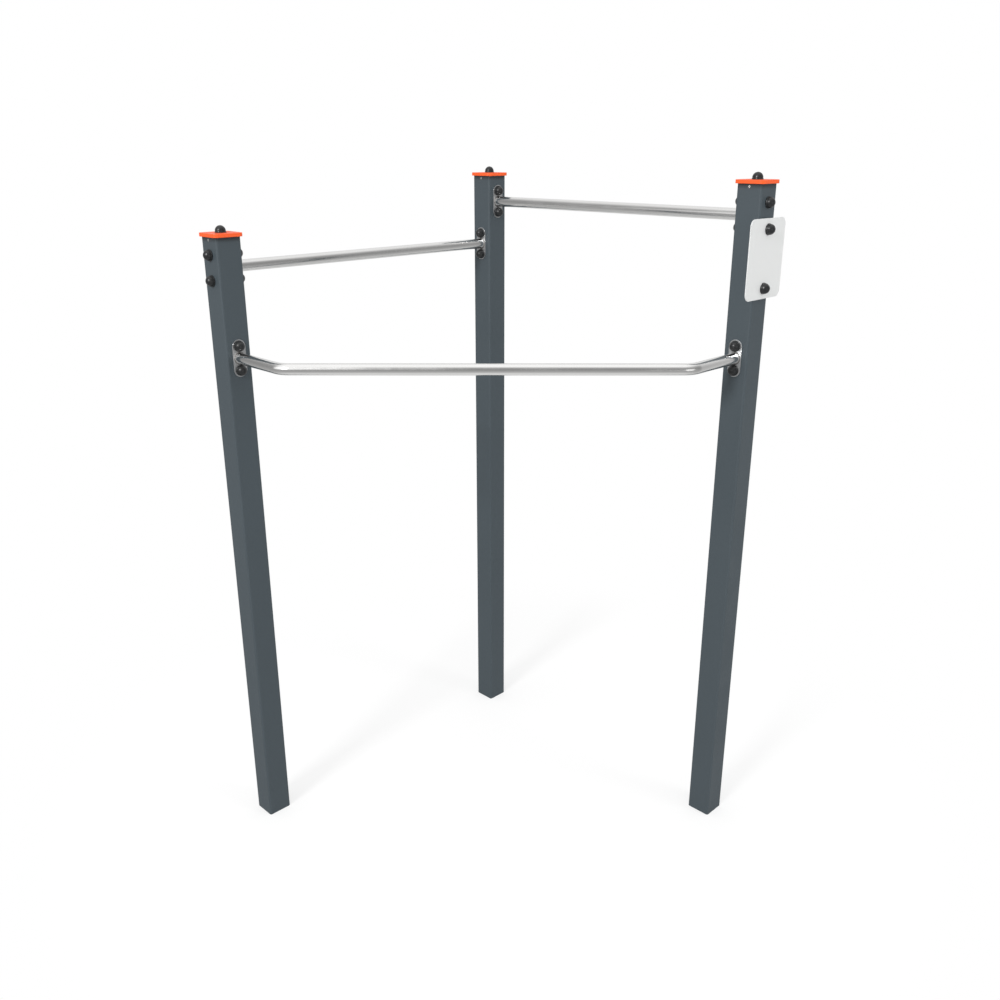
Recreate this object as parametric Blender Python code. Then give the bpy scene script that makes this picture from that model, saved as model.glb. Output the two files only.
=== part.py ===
"""Outdoor workout station: three square posts stand at the corners of a right-angled
triangle and carry three pull-up bars at three heights. The high and the middle bar
run straight between the back post and a front post, and the low bar stands out in
front of the two front posts. Lengths are in metres, +Z is up, the posts' lower ends
are at Z = 0, and the low bar faces -Y.
"""

import math
from dataclasses import dataclass

import bmesh
import bpy
from mathutils import Matrix, Vector

# Posts: square steel tube, cut plain at both ends
POST_SIDE = 0.100
POST_WALL = 0.004
POST_CORNER = 0.008
POST_SPACING = 1.340
POST_ABOVE_BAR = 0.107

# Bars: round stainless tube. Each lower bar hangs a drop below the next higher one
HIGH_BAR_HEIGHT = 2.503
MIDDLE_BAR_DROP = 0.180
LOW_BAR_DROP = 0.324
BAR_DIAMETER = 0.0424
BAR_WALL = 0.0026
LOW_BAR_STANDOUT = 0.273
LOW_BAR_BEND_RADIUS = 0.075
BEND_STEPS = 6

# Flanges welded to the ends of the bars
FLANGE_WIDTH = 0.054
FLANGE_HEIGHT = 0.138
FLANGE_THICKNESS = 0.004
FLANGE_VENT_DIAMETER = 0.012
WELD_LEG = 0.002
BOLT_SPACING = 0.090

# Covers over the heads and nuts
COVER_DIAMETER = 0.041
COVER_HEIGHT = 0.025
COVER_DOME_RADIUS = 0.019
COVER_RIM_HEIGHT = 0.003
COVER_CAVITY_DIAMETER = 0.026
COVER_CAVITY_DEPTH = 0.0165

# Caps over the upper ends of the posts, and the inserts that they are bolted to
CAP_OVERHANG = 0.009
CAP_THICKNESS = 0.013
CAP_EDGE_BEVEL = 0.001
INSERT_DEPTH = 0.032
INSERT_TOP = 0.006
INSERT_SKIRT = 0.003
RETAINER_BELOW_TOP = 0.010
RETAINER_HOLE_DIAMETER = 0.0045

# Blank plate on the front right post
PLATE_WIDTH = 0.230
PLATE_HEIGHT = 0.280
PLATE_THICKNESS = 0.003
PLATE_CORNER = 0.025
PLATE_BOLT_SPACING = 0.205
SPACER_THICKNESS = 0.006
SPACER_DIAMETER = 0.030

# Clearances
SEAT_GAP = 0.0003
HOLE_CLEARANCE = 0.0006
INSERT_CLEARANCE = 0.0004

# How finely round shapes are divided
CORNER_STEPS = 4
TUBE_SIDES = 20
HOLE_SIDES = 12
COVER_SIDES = 12
DOME_STEPS = 3

# How far a cutter passes the surface that it opens, and how far fused shapes sink
# into each other
CUT_MARGIN = 0.002
FUSE_DEPTH = 0.0005


@dataclass(frozen=True)
class Fastener:
    """Sizes of one bolt with its washers and nut."""

    diameter: float
    across_flats: float
    head_height: float
    nut_height: float
    washer_diameter: float
    washer_thickness: float
    free_thread: float

    @property
    def hole(self):
        """Diameter of the hole that the bolt passes through."""
        return self.diameter + 2 * HOLE_CLEARANCE


THROUGH_BOLT = Fastener(0.012, 0.018, 0.0075, 0.010, 0.024, 0.0025, 0.003)
CAP_BOLT = Fastener(0.010, 0.016, 0.0064, 0.008, 0.020, 0.0020, 0.003)

# Where the faces of the posts look, as turns about Z from +X
BACK_RIGHT = math.radians(45)
BACK_LEFT = math.radians(135)
FRONT_LEFT = math.radians(225)
FRONT_RIGHT = math.radians(315)
POST_TURN = BACK_RIGHT


@dataclass(frozen=True)
class Post:
    """One post: where its axis stands and how high it is."""

    name: str
    place: Vector
    height: float


@dataclass(frozen=True)
class BarEnd:
    """One bolted end of a bar, on one face of a post."""

    bar: str
    post: Post
    face: float
    height: float

    def bolt_heights(self):
        """Names and heights of the two bolts through the flange."""
        return (
            ("upper", self.height + BOLT_SPACING / 2),
            ("lower", self.height - BOLT_SPACING / 2),
        )


HALF_SPAN = POST_SPACING * math.cos(POST_TURN)
MIDDLE_BAR_HEIGHT = HIGH_BAR_HEIGHT - MIDDLE_BAR_DROP
LOW_BAR_HEIGHT = MIDDLE_BAR_HEIGHT - LOW_BAR_DROP
TALL_POST = HIGH_BAR_HEIGHT + POST_ABOVE_BAR
SHORT_POST = MIDDLE_BAR_HEIGHT + POST_ABOVE_BAR
POST_LEFT = Post("left", Vector((-HALF_SPAN, -HALF_SPAN / 2, 0)), SHORT_POST)
POST_BACK = Post("back", Vector((0, HALF_SPAN / 2, 0)), TALL_POST)
POST_RIGHT = Post("right", Vector((HALF_SPAN, -HALF_SPAN / 2, 0)), TALL_POST)
POSTS = (POST_LEFT, POST_BACK, POST_RIGHT)

BAR_ENDS = (
    BarEnd("middle_bar", POST_LEFT, BACK_RIGHT, MIDDLE_BAR_HEIGHT),
    BarEnd("middle_bar", POST_BACK, FRONT_LEFT, MIDDLE_BAR_HEIGHT),
    BarEnd("high_bar", POST_BACK, FRONT_RIGHT, HIGH_BAR_HEIGHT),
    BarEnd("high_bar", POST_RIGHT, BACK_LEFT, HIGH_BAR_HEIGHT),
    BarEnd("low_bar", POST_LEFT, FRONT_RIGHT, LOW_BAR_HEIGHT),
    BarEnd("low_bar", POST_RIGHT, FRONT_LEFT, LOW_BAR_HEIGHT),
)

# Distances from a post's axis, outward through one face
FACE = POST_SIDE / 2
FLANGE_SEAT = FACE + SEAT_GAP
FLANGE_OUTSIDE = FLANGE_SEAT + FLANGE_THICKNESS
SPACER_SEAT = FACE + SEAT_GAP
PLATE_SEAT = SPACER_SEAT + SPACER_THICKNESS + SEAT_GAP
PLATE_OUTSIDE = PLATE_SEAT + PLATE_THICKNESS

# The plate's upper bolt is the lower bolt of the high bar's end on the same post
PLATE_POST = POST_RIGHT
PLATE_FACE = FRONT_RIGHT
PLATE_UPPER_BOLT = HIGH_BAR_HEIGHT - BOLT_SPACING / 2
PLATE_LOWER_BOLT = PLATE_UPPER_BOLT - PLATE_BOLT_SPACING
PLATE_CENTRE = (PLATE_UPPER_BOLT + PLATE_LOWER_BOLT) / 2


def clear_scene():
    """Remove whatever the scene holds."""
    for old in list(bpy.data.objects):
        bpy.data.objects.remove(old, do_unlink=True)


def material(name, colour, roughness, metallic=0.0):
    """Make a plain shader for one kind of surface."""
    made = bpy.data.materials.new(name)
    made.use_nodes = True
    shader = made.node_tree.nodes["Principled BSDF"]
    shader.inputs["Base Color"].default_value = (*colour, 1.0)
    shader.inputs["Roughness"].default_value = roughness
    shader.inputs["Metallic"].default_value = metallic
    made.diffuse_color = (*colour, 1.0)
    return made


def outward(face):
    """Unit vector that a post's face looks along."""
    return Vector((math.cos(face), math.sin(face), 0))


def on_face(post, face, distance, height):
    """Point at a distance from a post's axis, straight out through one of its faces."""
    return post.place + outward(face) * distance + Vector((0, 0, height))


def aim(target, post, face, distance, height):
    """Stand an object on a post's face, with its own +Z pointing outward."""
    target.location = on_face(post, face, distance, height)
    target.rotation_euler = (0, math.pi / 2, face)


def mesh_from(name, shape):
    """Turn a bmesh into a mesh with its faces pointing out."""
    bmesh.ops.recalc_face_normals(shape, faces=shape.faces)
    made = bpy.data.meshes.new(name)
    shape.to_mesh(made)
    shape.free()
    return made


def place_mesh(name, mesh, finish):
    """Put a mesh in the scene as a visible, smooth-shaded piece."""
    made = bpy.data.objects.new(name, mesh)
    bpy.context.scene.collection.objects.link(made)
    if not mesh.materials:
        mesh.materials.append(finish)
        mesh.shade_smooth()
        mesh.set_sharp_from_angle(angle=math.radians(30))
    return made


def helper(name, mesh, matrix=None):
    """Put a mesh in the scene as a hidden cutter or addition."""
    made = bpy.data.objects.new(name, mesh)
    bpy.context.scene.collection.objects.link(made)
    made.hide_render = True
    made.display_type = "WIRE"
    if matrix is not None:
        made.matrix_world = matrix
    return made


def boolean(target, operation, other):
    """Add a live Boolean of the other object to the target."""
    modifier = target.modifiers.new(f"{operation.lower()} {other.name}", "BOOLEAN")
    modifier.operation = operation
    modifier.solver = "EXACT"
    modifier.object = other


def finished_mesh(name, target, helpers):
    """Apply an object's modifiers to a new mesh, and remove the object and its helpers."""
    bpy.context.view_layer.update()
    graph = bpy.context.evaluated_depsgraph_get()
    made = bpy.data.meshes.new_from_object(target.evaluated_get(graph))
    made.name = name
    for used in (target, *helpers):
        bpy.data.objects.remove(used, do_unlink=True)
    return made


def arc(centre, radius, start, end, steps):
    """Points along an arc from one angle to another, ends included."""
    return [
        (
            centre[0] + radius * math.cos(start + (end - start) * step / steps),
            centre[1] + radius * math.sin(start + (end - start) * step / steps),
        )
        for step in range(steps + 1)
    ]


def rounded_rectangle(width, height, corner):
    """Outline of a rectangle with round corners, anticlockwise round its centre."""
    outline = []
    inset_x = width / 2 - corner
    inset_y = height / 2 - corner
    for quarter, (side_x, side_y) in enumerate(((1, 1), (-1, 1), (-1, -1), (1, -1))):
        start = quarter * math.pi / 2
        centre = (side_x * inset_x, side_y * inset_y)
        outline += arc(centre, corner, start, start + math.pi / 2, CORNER_STEPS)
    return outline


def slot_outline(width, height):
    """Outline of a plate whose long sides end in half circles, its length along X."""
    end = width / 2
    reach = height / 2 - end
    right = arc((reach, 0), end, -math.pi / 2, math.pi / 2, 2 * CORNER_STEPS)
    left = arc((-reach, 0), end, math.pi / 2, 3 * math.pi / 2, 2 * CORNER_STEPS)
    return right + left


def polygon(radius, sides, turn=0.0):
    """Outline of a regular polygon with its corners at one radius."""
    last_turn = turn + 2 * math.pi * (sides - 1) / sides
    return arc((0, 0), radius, turn, last_turn, sides - 1)


def bore_outline(diameter):
    """Outline of a bolt, its hole or its washer, with no corner on the X or the Y axis."""
    return polygon(diameter / 2, HOLE_SIDES, math.pi / HOLE_SIDES)


def prism(name, outline, low, high):
    """Mesh of an outline extruded along Z from one height to another."""
    shape = bmesh.new()
    base = shape.faces.new([shape.verts.new((x, y, low)) for x, y in outline])
    raised = bmesh.ops.extrude_face_region(shape, geom=[base])
    moved = [piece for piece in raised["geom"] if isinstance(piece, bmesh.types.BMVert)]
    bmesh.ops.translate(shape, verts=moved, vec=(0, 0, high - low))
    return mesh_from(name, shape)


def turned(name, profile, sides):
    """Mesh of a closed profile of (radius, height) points turned about Z."""
    shape = bmesh.new()
    points = [shape.verts.new((radius, 0, height)) for radius, height in profile]
    edges = [shape.edges.new(pair) for pair in zip(points, points[1:])]
    bmesh.ops.spin(
        shape,
        geom=points + edges,
        cent=(0, 0, 0),
        axis=(0, 0, 1),
        angle=2 * math.pi,
        steps=sides,
    )
    bmesh.ops.remove_doubles(shape, verts=shape.verts, dist=1e-6)
    return mesh_from(name, shape)


def swept(name, path, radii, sides):
    """Mesh of a solid round rod along a level path, with one radius for each point."""
    shape = bmesh.new()
    rings = []
    for index, (point, radius) in enumerate(zip(path, radii)):
        before = (point - path[max(index - 1, 0)]).normalized()
        after = (path[min(index + 1, len(path) - 1)] - point).normalized()
        along = (before + after).normalized()
        mitre = 1 / max(along.dot(before), along.dot(after))
        across = Vector((-along.y, along.x, 0)) * mitre
        ring = [
            shape.verts.new(point + across * x + Vector((0, 0, y)))
            for x, y in polygon(radius, sides)
        ]
        rings.append(ring)
    for first, second in zip(rings, rings[1:]):
        for side in range(sides):
            following = (side + 1) % sides
            shape.faces.new(
                (first[side], first[following], second[following], second[side])
            )
    shape.faces.new(rings[0])
    shape.faces.new(rings[-1])
    return mesh_from(name, shape)


def make_post_mesh(post, drills):
    """Rounded square tube, open at both ends, with its drilled holes."""
    bore_side = POST_SIDE - 2 * POST_WALL
    outside = rounded_rectangle(POST_SIDE, POST_SIDE, POST_CORNER)
    inside = rounded_rectangle(bore_side, bore_side, POST_CORNER - POST_WALL)
    tube = helper(f"{post.name} tube", prism("tube", outside, 0, post.height))
    bore_mesh = prism("bore", inside, -CUT_MARGIN, post.height + CUT_MARGIN)
    cutters = [helper(f"{post.name} bore", bore_mesh)]
    for number, (face, height, diameter, near, far) in enumerate(drills):
        hole = prism("hole", bore_outline(diameter), near, far)
        lie_down = Matrix.Rotation(math.pi / 2, 4, "Y")
        turn = Matrix.Rotation(face - POST_TURN, 4, "Z") @ lie_down
        matrix = Matrix.Translation((0, 0, height)) @ turn
        cutters.append(helper(f"{post.name} hole {number}", hole, matrix))
    for cutter in cutters:
        boolean(tube, "DIFFERENCE", cutter)
    return finished_mesh(f"post_{post.name}", tube, cutters)


def drills_for(post):
    """Holes in one post: face, height, diameter, and from where to where they run."""
    beyond = FACE + CUT_MARGIN
    within = FACE - POST_WALL - CUT_MARGIN
    drills = []
    for end in BAR_ENDS:
        if end.post is post:
            for _, height in end.bolt_heights():
                drills.append((end.face, height, THROUGH_BOLT.hole, -beyond, beyond))
    retainer_height = post.height - RETAINER_BELOW_TOP
    drills.append(
        (FRONT_LEFT, retainer_height, RETAINER_HOLE_DIAMETER, within, beyond)
    )
    if post is PLATE_POST:
        drills.append((PLATE_FACE, PLATE_LOWER_BOLT, THROUGH_BOLT.hole, within, beyond))
    return drills


def make_posts(finish):
    """The three posts."""
    for post in POSTS:
        mesh = make_post_mesh(post, drills_for(post))
        made = place_mesh(f"post_{post.name}", mesh, finish)
        made.location = post.place
        made.rotation_euler.z = POST_TURN


def straight_path():
    """Level path of a straight bar along X, between the seats of its two flanges."""
    half_length = POST_SPACING / 2 - FLANGE_SEAT
    return [Vector((-half_length, 0, 0)), Vector((half_length, 0, 0))]


def low_bar_path():
    """Level path that leaves each post square to its face and bends to run along X."""
    seat = on_face(POST_LEFT, FRONT_RIGHT, FLANGE_SEAT, 0)
    start = Vector((seat.x, seat.y - POST_LEFT.place.y, 0))
    leaving = outward(FRONT_RIGHT)
    bend = -math.atan2(leaving.y, leaving.x)
    tangent = LOW_BAR_BEND_RADIUS * math.tan(bend / 2)
    corner = start + leaving * (LOW_BAR_STANDOUT - SEAT_GAP)
    centre = corner + Vector((tangent, LOW_BAR_BEND_RADIUS, 0))
    bend_from = -math.pi / 2 - bend
    bend_points = arc(centre, LOW_BAR_BEND_RADIUS, bend_from, -math.pi / 2, BEND_STEPS)
    left_half = [start] + [Vector((x, y, 0)) for x, y in bend_points]
    right_half = [Vector((-point.x, point.y, 0)) for point in reversed(left_half)]
    return left_half + right_half


def along_ends(path, distances):
    """The path with each end replaced by points at these distances into the bar."""
    first = (path[1] - path[0]).normalized()
    last = (path[-2] - path[-1]).normalized()
    start = [path[0] + first * distance for distance in distances]
    end = [path[-1] + last * distance for distance in reversed(distances)]
    return start + path[1:-1] + end


def end_matrix(point, following):
    """Place at a path's end, with +Z along the path into the bar and X upright."""
    inward = following - point
    turn = Matrix.Rotation(math.atan2(inward.y, inward.x), 4, "Z")
    return Matrix.Translation(point) @ turn @ Matrix.Rotation(math.pi / 2, 4, "Y")


def make_flange_mesh():
    """Flange plate with its two bolt holes, its height along X."""
    outline = slot_outline(FLANGE_WIDTH, FLANGE_HEIGHT)
    plate = helper("flange plate", prism("flange", outline, 0, FLANGE_THICKNESS))
    hole_outline = bore_outline(THROUGH_BOLT.hole)
    hole = prism("hole", hole_outline, -CUT_MARGIN, FLANGE_THICKNESS + CUT_MARGIN)
    cutters = [
        helper("flange hole", hole, Matrix.Translation((side * BOLT_SPACING / 2, 0, 0)))
        for side in (1, -1)
    ]
    for cutter in cutters:
        boolean(plate, "DIFFERENCE", cutter)
    return finished_mesh("flange", plate, cutters)


def make_bar_mesh(name, path, flange):
    """Tube with a flange and a weld bead at each end. A vent opens each end's bore."""
    radius = BAR_DIAMETER / 2
    buried = FLANGE_THICKNESS / 2
    bead_end = FLANGE_THICKNESS + WELD_LEG
    bead_radius = radius + bead_end - buried
    rod_path = along_ends(path, (buried, bead_end))
    rod_radii = [radius] * len(rod_path)
    rod_radii[0] = rod_radii[-1] = bead_radius
    bore_path = along_ends(path, (FLANGE_THICKNESS,))
    bore_radii = [radius - BAR_WALL] * len(bore_path)
    rod = helper(name, swept(name, rod_path, rod_radii, TUBE_SIDES))
    bore = helper("bore", swept("bore", bore_path, bore_radii, TUBE_SIDES))
    vent_outline = bore_outline(FLANGE_VENT_DIAMETER)
    vent = prism("vent", vent_outline, -CUT_MARGIN, FLANGE_THICKNESS + CUT_MARGIN)
    ends = (end_matrix(path[0], path[1]), end_matrix(path[-1], path[-2]))
    flanges = [helper("flange", flange, end) for end in ends]
    cutters = [bore] + [helper("vent", vent, end) for end in ends]
    for added in flanges:
        boolean(rod, "UNION", added)
    for cutter in cutters:
        boolean(rod, "DIFFERENCE", cutter)
    return finished_mesh(name, rod, flanges + cutters)


def make_bars(finish):
    """The three bars, each a tube with its two flanges welded on."""
    flange = make_flange_mesh()
    straight = make_bar_mesh("straight bar", straight_path(), flange)
    bent = make_bar_mesh("low bar", low_bar_path(), flange)
    between = (
        ("middle_bar", straight, POST_LEFT, POST_BACK, MIDDLE_BAR_HEIGHT),
        ("high_bar", straight, POST_BACK, POST_RIGHT, HIGH_BAR_HEIGHT),
        ("low_bar", bent, POST_LEFT, POST_RIGHT, LOW_BAR_HEIGHT),
    )
    for name, mesh, first, last, height in between:
        made = place_mesh(name, mesh, finish)
        made.location = (first.place + last.place) / 2 + Vector((0, 0, height))
        run = last.place - first.place
        made.rotation_euler.z = math.atan2(run.y, run.x)


def hexagon_outline(size):
    """Outline of a bolt's head or nut."""
    return polygon(size.across_flats / math.sqrt(3), 6)


def washer_helper(size, low):
    """Washer from one height up."""
    outline = bore_outline(size.washer_diameter)
    return helper("washer", prism("washer", outline, low, low + size.washer_thickness))


def make_screw_mesh(name, size, length, more=()):
    """Bolt with a washer under its head, its shank running down from Z = 0."""
    shank = helper(name, prism(name, bore_outline(size.diameter), -length, FUSE_DEPTH))
    head_low = size.washer_thickness - FUSE_DEPTH
    head_high = size.washer_thickness + size.head_height
    head = helper("head", prism("head", hexagon_outline(size), head_low, head_high))
    additions = [washer_helper(size, 0), head, *more]
    for addition in additions:
        boolean(shank, "UNION", addition)
    return finished_mesh(name, shank, additions)


def make_bolt_mesh(name, size, grip):
    """Bolt, washers and nut as one solid. The grip runs down from Z = 0."""
    under_nut = -grip - size.washer_thickness
    nut_low = under_nut - size.nut_height
    nut = helper("nut", prism("nut", hexagon_outline(size), nut_low, under_nut + FUSE_DEPTH))
    length = size.free_thread - nut_low
    return make_screw_mesh(name, size, length, (washer_helper(size, under_nut), nut))


def make_cover_mesh():
    """Domed cover with a flared skirt, hollow and open underneath."""
    dome_centre = COVER_HEIGHT - COVER_DOME_RADIUS
    dome = arc((0, dome_centre), COVER_DOME_RADIUS, 0, math.pi / 2, DOME_STEPS)
    rim = COVER_DIAMETER / 2
    cavity = COVER_CAVITY_DIAMETER / 2
    profile = [
        (0, COVER_CAVITY_DEPTH),
        (cavity, COVER_CAVITY_DEPTH),
        (cavity, 0),
        (rim, 0),
        (rim, COVER_RIM_HEIGHT),
        *dome[:-1],
        (0, COVER_HEIGHT),
    ]
    return turned("bolt cover", profile, COVER_SIDES)


def make_bar_fastenings(bolt_finish, cover_finish, cover_mesh):
    """Through bolts of the bars, with a cover at each end of every bolt."""
    near = FLANGE_OUTSIDE + SEAT_GAP
    far = FACE + SEAT_GAP
    plate_far = PLATE_OUTSIDE + SEAT_GAP
    meshes = {
        far: make_bolt_mesh("through bolt", THROUGH_BOLT, near + far),
        plate_far: make_bolt_mesh("long through bolt", THROUGH_BOLT, near + plate_far),
    }
    for end in BAR_ENDS:
        for level, height in end.bolt_heights():
            holds_plate = end.post is PLATE_POST and height == PLATE_UPPER_BOLT
            reach = plate_far if holds_plate else far
            label = f"{end.bar}_{end.post.name}_{level}"
            bolt = place_mesh(f"{label}_bolt", meshes[reach], bolt_finish)
            aim(bolt, end.post, end.face, near, height)
            cover = place_mesh(f"{label}_cover", cover_mesh, cover_finish)
            aim(cover, end.post, end.face, near, height)
            nut_cover = place_mesh(f"{label}_nut_cover", cover_mesh, cover_finish)
            aim(nut_cover, end.post, end.face + math.pi, reach, height)


def make_cap_mesh():
    """Square cap plate with round corners, eased edges and a bolt hole."""
    side = POST_SIDE + 2 * CAP_OVERHANG
    outline = rounded_rectangle(side, side, POST_CORNER + CAP_OVERHANG)
    plate = helper("cap plate", prism("cap", outline, 0, CAP_THICKNESS))
    edge = plate.modifiers.new("edge", "BEVEL")
    edge.width = CAP_EDGE_BEVEL
    edge.segments = 1
    edge.limit_method = "ANGLE"
    edge.angle_limit = math.radians(60)
    hole_outline = bore_outline(CAP_BOLT.hole)
    hole_mesh = prism("hole", hole_outline, -CUT_MARGIN, CAP_THICKNESS + CUT_MARGIN)
    hole = helper("cap hole", hole_mesh)
    boolean(plate, "DIFFERENCE", hole)
    return finished_mesh("post cap", plate, [hole])


def make_insert_mesh():
    """Square cup that fills the top of a post, open underneath."""
    side = POST_SIDE - 2 * POST_WALL - 2 * INSERT_CLEARANCE
    corner = POST_CORNER - POST_WALL - INSERT_CLEARANCE
    hollow_side = side - 2 * INSERT_SKIRT
    body = rounded_rectangle(side, side, corner)
    cup = helper("insert body", prism("insert", body, -INSERT_DEPTH, 0))
    hollow = rounded_rectangle(hollow_side, hollow_side, corner / 2)
    bolt_hole = bore_outline(CAP_BOLT.hole)
    screw_hole = bore_outline(RETAINER_HOLE_DIAMETER)
    lie_down = Matrix.Rotation(math.pi / 2, 4, "Y")
    across = Matrix.Translation((0, 0, -RETAINER_BELOW_TOP)) @ lie_down
    outer_end = -side / 2 - CUT_MARGIN
    inner_end = -hollow_side / 2 + CUT_MARGIN
    cutters = [
        helper("insert hollow", prism("hollow", hollow, -INSERT_DEPTH - CUT_MARGIN, -INSERT_TOP)),
        helper("insert bolt hole", prism("hole", bolt_hole, -INSERT_TOP - CUT_MARGIN, CUT_MARGIN)),
        helper("insert screw hole", prism("hole", screw_hole, outer_end, inner_end), across),
    ]
    for cutter in cutters:
        boolean(cup, "DIFFERENCE", cutter)
    return finished_mesh("cap insert", cup, cutters)


def make_caps(cap_finish, insert_finish, bolt_finish, cover_finish, cover_mesh):
    """Cap, insert, bolt and cover at the top of each post."""
    cap_mesh = make_cap_mesh()
    insert_mesh = make_insert_mesh()
    grip = SEAT_GAP + CAP_THICKNESS + SEAT_GAP + INSERT_TOP + SEAT_GAP
    bolt_mesh = make_bolt_mesh("cap bolt", CAP_BOLT, grip)
    for post in POSTS:
        top = post.place + Vector((0, 0, post.height))
        cap_top = top + Vector((0, 0, SEAT_GAP + CAP_THICKNESS + SEAT_GAP))
        insert = place_mesh(f"cap_insert_{post.name}", insert_mesh, insert_finish)
        insert.location = top
        cap = place_mesh(f"post_cap_{post.name}", cap_mesh, cap_finish)
        cap.location = top + Vector((0, 0, SEAT_GAP))
        bolt = place_mesh(f"cap_bolt_{post.name}", bolt_mesh, bolt_finish)
        bolt.location = cap_top
        cover = place_mesh(f"cap_cover_{post.name}", cover_mesh, cover_finish)
        cover.location = cap_top
        for piece in (insert, cap, bolt, cover):
            piece.rotation_euler.z = POST_TURN


def make_plate_mesh():
    """Thin plate with round corners and two bolt holes, its height along X."""
    outline = rounded_rectangle(PLATE_HEIGHT, PLATE_WIDTH, PLATE_CORNER)
    plate = helper("plate body", prism("plate", outline, 0, PLATE_THICKNESS))
    hole_outline = bore_outline(THROUGH_BOLT.hole)
    hole = prism("hole", hole_outline, -CUT_MARGIN, PLATE_THICKNESS + CUT_MARGIN)
    cutters = [
        helper("plate hole", hole, Matrix.Translation((side * PLATE_BOLT_SPACING / 2, 0, 0)))
        for side in (1, -1)
    ]
    for cutter in cutters:
        boolean(plate, "DIFFERENCE", cutter)
    return finished_mesh("blank plate", plate, cutters)


def make_ring_mesh(name, outline, hole_diameter, thickness):
    """Flat piece of any outline with a round hole through its middle."""
    body = helper(name, prism(name, outline, 0, thickness))
    hole_outline = bore_outline(hole_diameter)
    hole_mesh = prism("hole", hole_outline, -CUT_MARGIN, thickness + CUT_MARGIN)
    hole = helper("ring hole", hole_mesh)
    boolean(body, "DIFFERENCE", hole)
    return finished_mesh(name, body, [hole])


def make_blank_plate(plate_finish, spacer_finish, bolt_finish, cover_finish, cover_mesh):
    """Blank plate on spacers, its own lower bolt and the nut welded inside the post."""
    plate = place_mesh("blank_plate", make_plate_mesh(), plate_finish)
    aim(plate, PLATE_POST, PLATE_FACE, PLATE_SEAT, PLATE_CENTRE)
    spacer_outline = polygon(SPACER_DIAMETER / 2, 2 * HOLE_SIDES)
    spacer_mesh = make_ring_mesh("spacer", spacer_outline, THROUGH_BOLT.hole, SPACER_THICKNESS)
    for level, height in (("upper", PLATE_UPPER_BOLT), ("lower", PLATE_LOWER_BOLT)):
        spacer = place_mesh(f"plate_spacer_{level}", spacer_mesh, spacer_finish)
        aim(spacer, PLATE_POST, PLATE_FACE, SPACER_SEAT, height)
    nut_seat = FACE - POST_WALL - SEAT_GAP - THROUGH_BOLT.nut_height
    head_seat = PLATE_OUTSIDE + SEAT_GAP
    length = head_seat - nut_seat + THROUGH_BOLT.free_thread
    screw_mesh = make_screw_mesh("plate bolt", THROUGH_BOLT, length)
    screw = place_mesh("plate_lower_bolt", screw_mesh, bolt_finish)
    aim(screw, PLATE_POST, PLATE_FACE, head_seat, PLATE_LOWER_BOLT)
    hexagon = hexagon_outline(THROUGH_BOLT)
    nut_mesh = make_ring_mesh("weld nut", hexagon, THROUGH_BOLT.hole, THROUGH_BOLT.nut_height)
    nut = place_mesh("plate_weld_nut", nut_mesh, bolt_finish)
    aim(nut, PLATE_POST, PLATE_FACE, nut_seat, PLATE_LOWER_BOLT)
    cover = place_mesh("plate_lower_cover", cover_mesh, cover_finish)
    aim(cover, PLATE_POST, PLATE_FACE, head_seat, PLATE_LOWER_BOLT)


def centre_on_footprint():
    """Hang every piece on one empty, moved so that the outline's bottom centre is at 0."""
    bpy.context.view_layer.update()
    pieces = [piece for piece in bpy.context.scene.objects if not piece.hide_render]
    corners = [
        piece.matrix_world @ Vector(corner) for piece in pieces for corner in bounds_of(piece)
    ]
    middle_x = (min(c.x for c in corners) + max(c.x for c in corners)) / 2
    middle_y = (min(c.y for c in corners) + max(c.y for c in corners)) / 2
    frame = bpy.data.objects.new("station_frame", None)
    bpy.context.scene.collection.objects.link(frame)
    frame.location = (-middle_x, -middle_y, 0)
    for piece in pieces:
        piece.parent = frame


def bounds_of(piece):
    """The points of a piece's mesh."""
    return [vertex.co for vertex in piece.data.vertices]


def main():
    """Build the whole station."""
    clear_scene()
    coated_steel = material("anthracite coated steel", (0.075, 0.090, 0.104), 0.50)
    stainless = material("stainless tube", (0.62, 0.62, 0.61), 0.22, metallic=1.0)
    zinc = material("zinc plated steel", (0.55, 0.56, 0.58), 0.35, metallic=1.0)
    orange = material("orange polyethylene", (0.95, 0.115, 0.025), 0.42)
    black = material("black polyamide", (0.022, 0.024, 0.026), 0.38)
    grey = material("grey polypropylene", (0.16, 0.17, 0.18), 0.55)
    white = material("white laminate", (0.80, 0.80, 0.79), 0.40)
    cover_mesh = make_cover_mesh()
    make_posts(coated_steel)
    make_bars(stainless)
    make_bar_fastenings(zinc, black, cover_mesh)
    make_caps(orange, grey, zinc, black, cover_mesh)
    make_blank_plate(white, grey, zinc, black, cover_mesh)
    centre_on_footprint()


main()
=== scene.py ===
"""Outdoor workout station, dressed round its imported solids.

Three square posts stand at the corners of a right-angled triangle and carry three
pull-up bars. Lengths are in metres, +Z is up, and the low bar faces -Y. Each class
below is one kind of sub-assembly: it holds its sizes, works out its surfaces as numpy
arrays, and puts the finished pieces in the scene.
"""

import logging
import math
from dataclasses import dataclass, field
from enum import Enum
from typing import Callable, Iterator, Mapping, Optional, Sequence

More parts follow.
